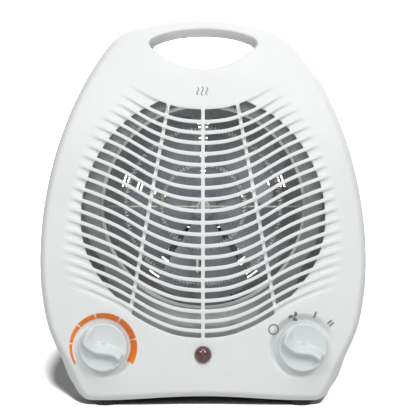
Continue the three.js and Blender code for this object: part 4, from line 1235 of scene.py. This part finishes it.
# ------------------------------------------------------------------ materials
class Shader:
    """One node material; its methods return output sockets."""

    def __init__(self, name):
        self.material = bpy.data.materials.new(name)
        self.material.use_nodes = True
        self.tree = self.material.node_tree
        self.tree.nodes.clear()
        output = self.node("OutputMaterial")
        self.surface = self.node("BsdfPrincipled")
        self.feed(output, "Surface", self.surface.outputs["BSDF"])
        self.coordinates = self.node("TexCoord").outputs["Object"]
        self.normal = None

    def node(self, kind, inputs=None, **settings):
        node = self.tree.nodes.new("ShaderNode" + kind)
        for attribute, value in settings.items():
            setattr(node, attribute, value)
        for key, value in (inputs or {}).items():
            self.feed(node, key, value)
        return node

    def feed(self, node, key, value):
        """Links a socket to an input, or sets the input's value."""
        if isinstance(value, bpy.types.NodeSocket):
            self.tree.links.new(value, node.inputs[key])
        else:
            node.inputs[key].default_value = value

    def set(self, **values):
        for key, value in values.items():
            self.feed(self.surface, key.replace("_", " "), value)

    def stretched(self, stretch=(1, 1, 1)):
        mapping = self.node("Mapping", {"Scale": stretch, "Vector": self.coordinates})
        return mapping.outputs["Vector"]

    def noise(self, scale, detail, roughness, stretch=(1, 1, 1), distortion=0.0):
        return self.node("TexNoise", {
            "Scale": scale, "Detail": detail, "Roughness": roughness,
            "Distortion": distortion, "Vector": self.stretched(stretch)}).outputs["Fac"]

    def voronoi(self, scale):
        node = self.node("TexVoronoi", {"Scale": scale, "Vector": self.stretched()},
                         feature="F1")
        return node.outputs

    def bands(self, direction, scale, distortion, **more):
        return self.node("TexWave", {"Scale": scale, "Distortion": distortion,
                                     "Vector": self.stretched(), **more},
                         wave_type="BANDS", bands_direction=direction).outputs["Fac"]

    def map_range(self, value, **limits):
        inputs = {key.replace("_", " ").title(): limit for key, limit in limits.items()}
        return self.node("MapRange", {**inputs, "Value": value}).outputs["Result"]

    def ramp(self, source, *stops):
        """Grey ramp through (position, level) stops."""
        node = self.node("ValToRGB")
        elements = node.color_ramp.elements
        while len(elements) < len(stops):
            elements.new(0.5)
        for i, (position, level) in enumerate(stops):
            elements[i].position = position
            elements[i].color = (level, level, level, 1)
        self.feed(node, "Fac", source)
        return node.outputs[0]

    def fade(self, source, low, high):
        return self.ramp(source, (low, 0.0), (high, 1.0))

    def mix(self, factor, a, b, blend="MIX"):
        a, b = [(*c, 1) if isinstance(c, tuple) else c for c in (a, b)]
        # inputs 6 and 7 and output 2 of a Mix node are its colours
        return self.node("Mix", {0: factor, 6: a, 7: b}, data_type="RGBA",
                         blend_type=blend).outputs[2]

    def tint(self, colour, by):
        return self.mix(1.0, colour, by, "MULTIPLY")

    def corner_shade_and_lighter_edges(self, colour, *stops):
        """Painted shade darkening the hollow corners, and lighter edges, from how pointed the
        surface is.
        """
        pointiness = self.node("NewGeometry").outputs["Pointiness"]
        return self.tint(colour, self.ramp(pointiness, *stops))

    def colour(self, source):
        self.set(Base_Color=source)

    def rough(self, source, low, high):
        self.set(Roughness=self.map_range(source, to_min=low, to_max=high))

    def bump(self, source, distance, strength):
        """Adds a bump, in metres, on top of those before it."""
        inputs = {"Distance": distance, "Strength": strength, "Height": source}
        if self.normal:
            inputs["Normal"] = self.normal
        self.normal = self.node("Bump", inputs).outputs["Normal"]
        self.set(Normal=self.normal)


def srgb(*levels):
    """Linear colour from 0-255 display levels."""
    return tuple((c / 255 / 12.92) if c / 255 <= 0.04045 else ((c / 255 + 0.055) / 1.055) ** 2.4
                 for c in levels)


def scaled(colour, factor):
    return tuple(min(1.0, c * factor) for c in colour)


def moulded(name, base, roughness, grain, grain_depth, specular, mottle, edge):
    """Injection-moulded plastic: fine grain, faint flow mottle, lighter edges and painted shade
    darkening the corners."""
    shader = Shader(name)
    patches = shader.noise(scale=28, detail=4, roughness=0.55)
    flow = shader.noise(scale=9, detail=3, roughness=0.6, stretch=(1, 1, 0.35), distortion=0.8)
    fine = shader.noise(scale=grain, detail=2.5, roughness=0.6)
    colour = shader.mix(shader.fade(patches, 0.3, 0.7), scaled(base, 1 - mottle),
                        scaled(base, 1 + mottle * 0.5))
    streaks = shader.mix(shader.fade(flow, 0.35, 0.75), (1, 1, 1),
                         (1 - mottle, 1 - mottle * 0.7, 1 - mottle * 0.6))
    colour = shader.tint(colour, streaks)
    # painted shade: edge sets how far the hollow corners are darkened, as well as how far the
    # edges are lightened
    shader.colour(shader.corner_shade_and_lighter_edges(colour, (0.40, 1 - edge * 2.2), (0.49, 1.0), (0.53, 1.0),
                              (0.62, 1 + edge)))
    handling = shader.noise(scale=55, detail=4, roughness=0.6)
    shader.rough(handling, roughness[0] - 0.05, roughness[1] + 0.05)
    shader.bump(fine, distance=grain_depth, strength=0.8)
    shader.bump(patches, distance=0.00006, strength=0.25)
    shader.set(Specular_IOR_Level=specular)
    return shader.material


# Surface lines of the metals: noise, ramp stops and bump
METAL_LINES = {
    "brushed": dict(noise=dict(scale=900, detail=4, roughness=0.7, stretch=(1, 1, 0.02)),
                    stops=((0.3, 0.84), (0.7, 1.05)), distance=0.00001, strength=0.6),
    "turned": dict(noise=dict(scale=1400, detail=3, roughness=0.6, stretch=(0.03, 1, 0.03)),
                   stops=((0.3, 0.85), (0.7, 1.05)), distance=0.00001, strength=0.6),
    "plain": dict(noise=dict(scale=700, detail=3, roughness=0.6),
                  stops=((0.25, 0.88), (0.75, 1.04)), distance=0.000015, strength=0.5),
}


def metal(name, base, roughness, kind, metallic, tint):
    """Metal with zinc spangle, stacked sheets or surface lines, and dull patches."""
    shader = Shader(name)
    dull = shader.noise(scale=60, detail=5, roughness=0.65)
    if kind == "spangle":
        cells = shader.voronoi(scale=170)
        pattern = shader.ramp(cells["Color"], (0.0, 0.72), (0.5, 0.9), (1.0, 1.06))
        shader.bump(cells["Distance"], distance=0.00003, strength=0.2)
    elif kind == "laminated":
        sheets = shader.bands("Y", scale=310, distortion=0.4)
        pattern = shader.ramp(sheets, (0.1, 0.35), (0.45, 1.0))
        shader.bump(sheets, distance=0.0001, strength=0.8)
    else:
        style = METAL_LINES[kind]
        lines = shader.noise(**style["noise"])
        pattern = shader.ramp(lines, *style["stops"])
        shader.bump(lines, distance=style["distance"], strength=style["strength"])
    colour = shader.mix(shader.fade(dull, 0.35, 0.7), base, scaled(base, 1 - tint * 2))
    colour = shader.tint(colour, pattern)
    # painted shade darkens the hollow corners; the edges are lightened
    shader.colour(shader.corner_shade_and_lighter_edges(colour, (0.42, 0.7), (0.5, 1.0), (0.6, 1.15)))
    shader.rough(dull, roughness[0] - 0.06, roughness[1] + 0.1)
    shader.set(Metallic=metallic)
    return shader.material


def cord_pvc():
    """Soft sheath with faint extrusion lines and handling marks."""
    shader = Shader("cord_pvc")
    scuff = shader.noise(scale=160, detail=6, roughness=0.7)
    lines = shader.noise(scale=1500, detail=2, roughness=0.5, stretch=(0.05, 1, 1))
    shader.colour(shader.mix(shader.fade(scuff, 0.45, 0.78), srgb(36, 37, 39),
                             srgb(64, 65, 67)))
    shader.rough(scuff, 0.42, 0.66)
    shader.bump(lines, distance=0.00003, strength=0.5)
    shader.bump(scuff, distance=0.00004, strength=0.4)
    return shader.material


def rubber():
    """Matt, slightly dusty and pitted."""
    shader = Shader("rubber")
    pits = shader.voronoi(scale=1500)["Distance"]
    dust = shader.noise(scale=240, detail=5, roughness=0.7)
    shader.colour(shader.mix(shader.fade(dust, 0.45, 0.75), srgb(52, 53, 54),
                             srgb(96, 95, 92)))
    shader.rough(dust, 0.75, 0.95)
    shader.bump(pits, distance=0.00004, strength=0.7)
    return shader.material


def ink(name, colour_a, colour_b):
    """A slightly uneven printed film."""
    shader = Shader(name)
    screen = shader.voronoi(scale=2600)["Distance"]
    patches = shader.noise(scale=120, detail=4, roughness=0.6)
    colour = shader.mix(shader.fade(patches, 0.3, 0.7), colour_a, colour_b)
    shader.colour(shader.tint(colour, shader.ramp(screen, (0.0, 1.0), (0.6, 0.95))))
    shader.rough(patches, 0.32, 0.5)
    shader.bump(screen, distance=0.00001, strength=0.5)
    return shader.material


def lamp_red():
    """Dark red lens with moulded prisms behind a clear skin."""
    shader = Shader("lamp_red")
    prisms = shader.voronoi(scale=900)["Distance"]
    smear = shader.noise(scale=300, detail=3, roughness=0.5)
    shader.colour(shader.mix(shader.fade(prisms, 0.1, 0.6), srgb(126, 84, 88),
                             srgb(92, 54, 58)))
    shader.rough(smear, 0.1, 0.2)
    shader.bump(prisms, distance=0.00006, strength=0.35)
    shader.set(Coat_Weight=0.8, Coat_Roughness=0.06, Subsurface_Weight=0.15,
               Subsurface_Scale=0.002, Subsurface_Radius=(1.0, 0.25, 0.25))
    return shader.material


def galvanised_duct():
    """Spangled sheet: the front flange a darker grey, a mid grey on the lower apron, and the bore
    painted bright to stand in for light that the casing keeps off it.
    """
    shader = Shader("galvanised_duct")
    cells = shader.voronoi(scale=170)
    dull = shader.noise(scale=60, detail=5, roughness=0.65)
    place = shader.node("SeparateXYZ", {"Vector": shader.coordinates}).outputs
    above_apron = shader.map_range(place["Z"], from_min=0.050, from_max=0.078)
    # painted light: the bore behind the flange gets a near-white colour in place of the light it
    # lacks inside the casing
    bore_painted_light = shader.map_range(place["Y"], from_min=-0.0704, from_max=-0.0690)
    colour = shader.mix(bore_painted_light, srgb(164, 170, 165), srgb(240, 243, 240))
    colour = shader.mix(above_apron, srgb(204, 209, 210), colour)
    colour = shader.tint(colour, shader.ramp(cells["Color"], (0.0, 0.86), (1.0, 1.02)))
    shader.colour(shader.tint(colour, shader.ramp(dull, (0.3, 0.94), (0.7, 1.0))))
    shader.rough(dull, 0.45, 0.65)
    shader.bump(cells["Distance"], distance=0.00003, strength=0.2)
    shader.set(Metallic=0.25)
    return shader.material


def nichrome():
    """Oxidised to a bluish grey with straw-coloured stretches."""
    shader = Shader("nichrome")
    oxide = shader.noise(scale=90, detail=4, roughness=0.7)
    fine = shader.noise(scale=2500, detail=2, roughness=0.5)
    shader.colour(shader.mix(shader.fade(oxide, 0.35, 0.7), srgb(196, 200, 206),
                             srgb(150, 138, 120)))
    shader.rough(oxide, 0.25, 0.45)
    shader.bump(fine, distance=0.00001, strength=0.5)
    shader.set(Metallic=1.0)
    return shader.material


def mica():
    """Pearly flakes pressed in layers, with browner patches."""
    shader = Shader("mica")
    flakes = shader.voronoi(scale=420)
    heated = shader.noise(scale=25, detail=4, roughness=0.6)
    colour = shader.mix(shader.fade(flakes["Color"], 0.1, 0.9), srgb(140, 139, 133),
                        srgb(172, 171, 164))
    browned = shader.mix(shader.fade(heated, 0.4, 0.75), (1, 1, 1), srgb(222, 212, 196))
    shader.colour(shader.tint(colour, browned))
    shader.rough(flakes["Distance"], 0.3, 0.6)
    shader.bump(flakes["Distance"], distance=0.00005, strength=0.5)
    shader.set(Sheen_Weight=0.2)
    return shader.material


def copper_winding():
    """Enamelled wire in tight parallel turns."""
    shader = Shader("copper_winding")
    turns = shader.bands("X", scale=620, distortion=0.6, Detail=2)
    patches = shader.noise(scale=140, detail=4, roughness=0.6)
    colour = shader.mix(shader.fade(turns, 0.15, 0.6), srgb(52, 28, 18), srgb(132, 80, 48))
    shader.colour(shader.tint(colour, shader.ramp(patches, (0.3, 0.8), (0.7, 1.05))))
    shader.rough(patches, 0.25, 0.42)
    shader.bump(turns, distance=0.00015, strength=1.0)
    shader.set(Metallic=0.7)
    return shader.material


def wire(name, colour_a, colour_b):
    """Coloured insulation."""
    shader = Shader(name)
    patches = shader.noise(scale=180, detail=4, roughness=0.6)
    fine = shader.noise(scale=1800, detail=2, roughness=0.5, stretch=(1, 0.1, 1))
    shader.colour(shader.mix(shader.fade(patches, 0.35, 0.7), colour_a, colour_b))
    shader.rough(patches, 0.35, 0.5)
    shader.bump(fine, distance=0.00002, strength=0.6)
    return shader.material


MATERIALS = {
    "casing": moulded("casing_white", srgb(236, 238, 237), roughness=(0.36, 0.5), grain=1700,
                      grain_depth=0.000010, specular=0.4, mottle=0.02, edge=0.03),
    "casing_back": moulded("casing_white_back", srgb(232, 232, 231), roughness=(0.4, 0.55),
                           grain=1100, grain_depth=0.000022, specular=0.38, mottle=0.025,
                           edge=0.04),
    "knob": moulded("knob_white", srgb(222, 228, 228), roughness=(0.26, 0.36), grain=2200,
                    grain_depth=0.000006, specular=0.5, mottle=0.015, edge=0.05),
    "cream": moulded("cream_nylon", srgb(226, 218, 198), roughness=(0.45, 0.6), grain=900,
                     grain_depth=0.00002, specular=0.35, mottle=0.05, edge=0.08),
    "black": moulded("black_plastic", srgb(38, 39, 41), roughness=(0.42, 0.6), grain=1300,
                     grain_depth=0.00003, specular=0.4, mottle=0.14, edge=0.3),
    "cord": cord_pvc(),
    "rubber": rubber(),
    "orange": ink("print_orange", srgb(255, 140, 44), srgb(250, 130, 36)),
    "grey_ink": ink("print_grey_ink", srgb(146, 148, 152), srgb(126, 128, 132)),
    "lamp": lamp_red(),
    "zinc": metal("galvanised_steel", srgb(182, 190, 188), roughness=(0.42, 0.56),
                  kind="spangle", metallic=0.6, tint=0.1),
    "duct": galvanised_duct(),
    "steel": metal("plated_steel", srgb(188, 190, 192), roughness=(0.24, 0.38),
                   kind="plain", metallic=1.0, tint=0.1),
    "brass": metal("brass", srgb(206, 176, 104), roughness=(0.2, 0.36),
                   kind="turned", metallic=1.0, tint=0.12),
    "aluminium": metal("aluminium", srgb(126, 129, 134), roughness=(0.5, 0.62),
                       kind="brushed", metallic=0.55, tint=0.08),
    "laminated": metal("lamination_steel", srgb(118, 120, 124), roughness=(0.4, 0.55),
                       kind="laminated", metallic=0.85, tint=0.2),
    "nichrome": nichrome(),
    "mica": mica(),
    "copper": copper_winding(),
    "wire_red": wire("wire_red", srgb(170, 46, 44), srgb(140, 34, 34)),
    "wire_white": wire("wire_white", srgb(222, 220, 210), srgb(196, 192, 180)),
    "wire_blue": wire("wire_blue", srgb(58, 92, 160), srgb(44, 72, 132)),
}

# ------------------------------------------------------------------ the pieces
to_object("casing_front", build_front(), "casing", 38, "front_shell")
to_object("casing_rear", build_rear(), "casing_back", 38, "rear_shell")

CONTROLS = (("thermostat", -KNOB_X), ("selector", KNOB_X))
for name, x in CONTROLS:
    to_object(name + "_grip_knob", build_knob(x), "knob", 40, name + "_knob",
              ride=name + "_dial")
for name, x in CONTROLS:
    to_object(name + "_shaft", build_shaft(x), "cream", 40,
              name + "_spindle", ride=name + "_dial")

to_object("thermostat_scale_print", build_print(dial_scale(), lift=0.09, step=0.8), "orange",
          60)
to_object("selector_symbols_print", build_print(selector_symbols(), lift=0.10, step=0.6),
          "grey_ink", 60)
to_object("heat_sign_print", build_print(heat_sign(), lift=0.05, step=0.8), "grey_ink", 60)
to_object("lamp_dome", build_lens(), "lamp", 45, "lamp_lens")

for place, radius in (("inner", 28.0), ("outer", 52.0)):
    to_object("coil_" + place, build_coil(radius), "nichrome", 60,
              "heating_coil_" + place)
to_object("fan_wheel", build_fan(), "aluminium", 35, "fan_impeller", ride="fan")
to_object("duct_sheet", build_duct(), "duct", 38, "air_duct")

for i, (x, z) in enumerate(SCREWS, 1):
    to_object("case_screw_pan_%d" % i, build_screw(x, z), "steel", 35,
              "case_screw_%d" % i)
for i, (x, y) in enumerate(FEET, 1):
    to_object("foot_%d" % i, build_foot(x, y), "rubber", 40, "rubber_foot_%d" % i)

to_object("cord", build_cord(), "cord", 60, "mains_cord")
to_object("cord_sleeve", build_bush(), "black", 40, "cord_bush")
to_object("plug_body", build_plug(), "black", 42, "mains_plug")
for i, offset in enumerate((-9.5, 9.5), 1):
    to_object("plug_contact_%d" % i, build_pin(PLUG_Y + offset), "brass", 40,
              "plug_pin_%d" % i)
to_object("hank_tie", build_tie(), "black", 40, "cable_tie")

# small works kept from the frame, by material
KEPT = {
    "cream": "thermostat_body lamp_body terminal_block cord_clamp",
    "black": "selector_switch_body",
    "brass": "thermostat_bimetal bearing_bush_front bearing_bush_rear",
    "steel": "thermostat_nut selector_nut lamp_retainer duct_screw_1 duct_screw_2 "
             "thermal_fuse bracket_screw_1 bracket_screw_2 motor_shaft motor_screw_1 "
             "motor_screw_2 fan_hub_nut cord_clamp_screw",
    "mica": "mica_board_vertical mica_board_horizontal",
    "aluminium": "thermal_cutout",
    "zinc": "motor_bracket bearing_plate_front bearing_plate_rear",
    "laminated": "motor_stator motor_rotor",
    "copper": "motor_coil",
    "wire_red": "wire_lamp",
    "wire_white": "wire_heater",
    "wire_blue": "wire_motor",
}
kept_material = {name: key for key, names in KEPT.items() for name in names.split()}
for name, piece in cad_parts.items():
    if name not in kept_material:
        continue
    piece.data.materials.clear()
    piece.data.materials.append(MATERIALS[kept_material[name]])
    weld = piece.modifiers.new("join", "WELD")
    weld.merge_threshold = 0.00001
    bevel = piece.modifiers.new("edges", "BEVEL")
    bevel.width = 0.0002
    bevel.segments = 2
    bevel.limit_method = "ANGLE"
    bevel.angle_limit = math.radians(40)
    bevel.harden_normals = False

# ------------------------------------------------------------------ stage, in metres
scene = bpy.context.scene


def stage_mesh(name, verts, faces, material):
    mesh = bpy.data.meshes.new(name)
    mesh.from_pydata(verts, [], faces)
    mesh.polygons.foreach_set("use_smooth", [True] * len(mesh.polygons))
    mesh.materials.append(material)
    piece = bpy.data.objects.new(name, mesh)
    scene.collection.objects.link(piece)
    return piece


def stage_material(name, seen, fed_back):
    """Matt paint: one level as the camera sees it, one as it feeds light back."""
    material = bpy.data.materials.new(name)
    material.use_nodes = True
    tree = material.node_tree
    tree.nodes.clear()
    output = tree.nodes.new("ShaderNodeOutputMaterial")
    diffuse = tree.nodes.new("ShaderNodeBsdfDiffuse")
    light_path = tree.nodes.new("ShaderNodeLightPath")
    level = tree.nodes.new("ShaderNodeMapRange")
    level.inputs["To Min"].default_value = fed_back
    level.inputs["To Max"].default_value = seen
    tree.links.new(light_path.outputs["Is Camera Ray"], level.inputs["Value"])
    tree.links.new(level.outputs["Result"], diffuse.inputs["Color"])
    tree.links.new(diffuse.outputs["BSDF"], output.inputs["Surface"])
    return material


# flat floor, then a curve up into the wall behind
HALF_STAGE, FLOOR_BACK, CURVE_R, WALL_TOP = 6.0, 1.8, 1.4, 6.0
floor = stage_mesh("floor", [(-HALF_STAGE, -HALF_STAGE, 0), (HALF_STAGE, -HALF_STAGE, 0),
                             (HALF_STAGE, FLOOR_BACK, 0), (-HALF_STAGE, FLOOR_BACK, 0)],
                   [(0, 1, 2, 3)], stage_material("studio_floor", seen=0.60, fed_back=0.27))
wall_line = [(FLOOR_BACK, 0.0)]
wall_line += [(FLOOR_BACK + CURVE_R * math.sin(a), CURVE_R - CURVE_R * math.cos(a))
              for a in np.linspace(0.1, math.pi / 2, 14)]
wall_line.append((FLOOR_BACK + CURVE_R, WALL_TOP))
n = len(wall_line)
backdrop = stage_mesh("sweep", [(x, y, z) for x in (-HALF_STAGE, HALF_STAGE)
                                for y, z in wall_line],
                      [(i, i + n, i + n + 1, i + 1) for i in range(n - 1)],
                      stage_material("studio_wall", seen=0.9, fed_back=0.10))

world = bpy.data.worlds.new("studio")
scene.world = world
world.use_nodes = True
background = world.node_tree.nodes["Background"]
background.inputs["Color"].default_value = (0.955, 0.975, 1.0, 1)
background.inputs["Strength"].default_value = 0.19


def link_to_stage(light, state):
    """Includes or excludes the stage among the things a light falls on."""
    receivers = bpy.data.collections.new(light.name + "_receivers")
    for piece in (floor, backdrop):
        receivers.objects.link(piece)
    light.light_linking.receiver_collection = receivers
    for item in receivers.collection_objects:
        item.light_linking.link_state = state


def area_light(name, location, target, size, watts, colour, shape="RECTANGLE"):
    """Area light that falls on the heater but not on the stage."""
    data = bpy.data.lights.new(name, "AREA")
    data.shape = shape
    data.size, data.size_y = size
    data.energy = watts
    data.color = colour
    light = bpy.data.objects.new(name, data)
    light.location = location
    direction = Vector(target) - Vector(location)
    light.rotation_euler = direction.to_track_quat("-Z", "Y").to_euler()
    light.visible_camera = False
    scene.collection.objects.link(light)
    link_to_stage(light, "EXCLUDE")


WARM, COOL = (1.0, 0.995, 0.985), (0.98, 0.99, 1.0)
area_light("key", location=(1.15, -2.25, 1.65), target=(0, 0, 0.12), size=(0.9, 0.9),
           watts=27, colour=WARM)
area_light("left", location=(-1.1, -2.2, 1.6), target=(0, 0, 0.12), size=(0.9, 0.9),
           watts=18, colour=COOL)
area_light("top", location=(0.0, -0.95, 1.5), target=(0, 0, 0.2), size=(0.9, 0.6),
           watts=7, colour=WARM)
area_light("front", location=(0.0, -2.6, 0.6), target=(0, 0, 0.12), size=(1.0, 1.0),
           watts=3, colour=(0.975, 0.988, 1.0))
area_light("rim", location=(0.4, 0.7, 1.35), target=(0, 0, 0.2), size=(1.0, 0.6),
           watts=19, colour=(1, 1, 1))
# light scattered inside the casing: back from the grille, forward from the intake
area_light("grille_scatter", location=(0, (-38.0 + PARTING_Y) / 1000, 0.134),
           target=(0, 0, 0.134), size=(0.11, 0.11), watts=0.028, colour=COOL, shape="DISK")
area_light("intake_scatter", location=(0, (46.0 + PARTING_Y) / 1000, 0.134),
           target=(0, -1, 0.134), size=(0.12, 0.12), watts=0.03, colour=COOL, shape="DISK")

# a low soft sun lights only the stage and throws the heater's shadow
sun_data = bpy.data.lights.new("floor_sun", "SUN")
sun_data.energy = 17.0
sun_data.angle = 0.06
sun = bpy.data.objects.new("floor_sun", sun_data)
sun.rotation_euler = Vector((-0.22, 2.75, -1.0)).to_track_quat("-Z", "Y").to_euler()
sun.location = (0.5, -4.0, 1.5)
scene.collection.objects.link(sun)
link_to_stage(sun, "INCLUDE")

camera_data = bpy.data.cameras.new("camera")
camera_data.lens = 142.3
camera_data.sensor_width = 36
camera_data.clip_start = 0.05
camera = bpy.data.objects.new("camera", camera_data)
scene.collection.objects.link(camera)
camera.location = (0.00464, PARTING_Y / 1000 - 1.150, 0.1316)
camera.rotation_euler = (math.pi / 2, 0, 0)
scene.camera = camera
scene.view_settings.view_transform = "Standard"
scene.view_settings.look = "None"
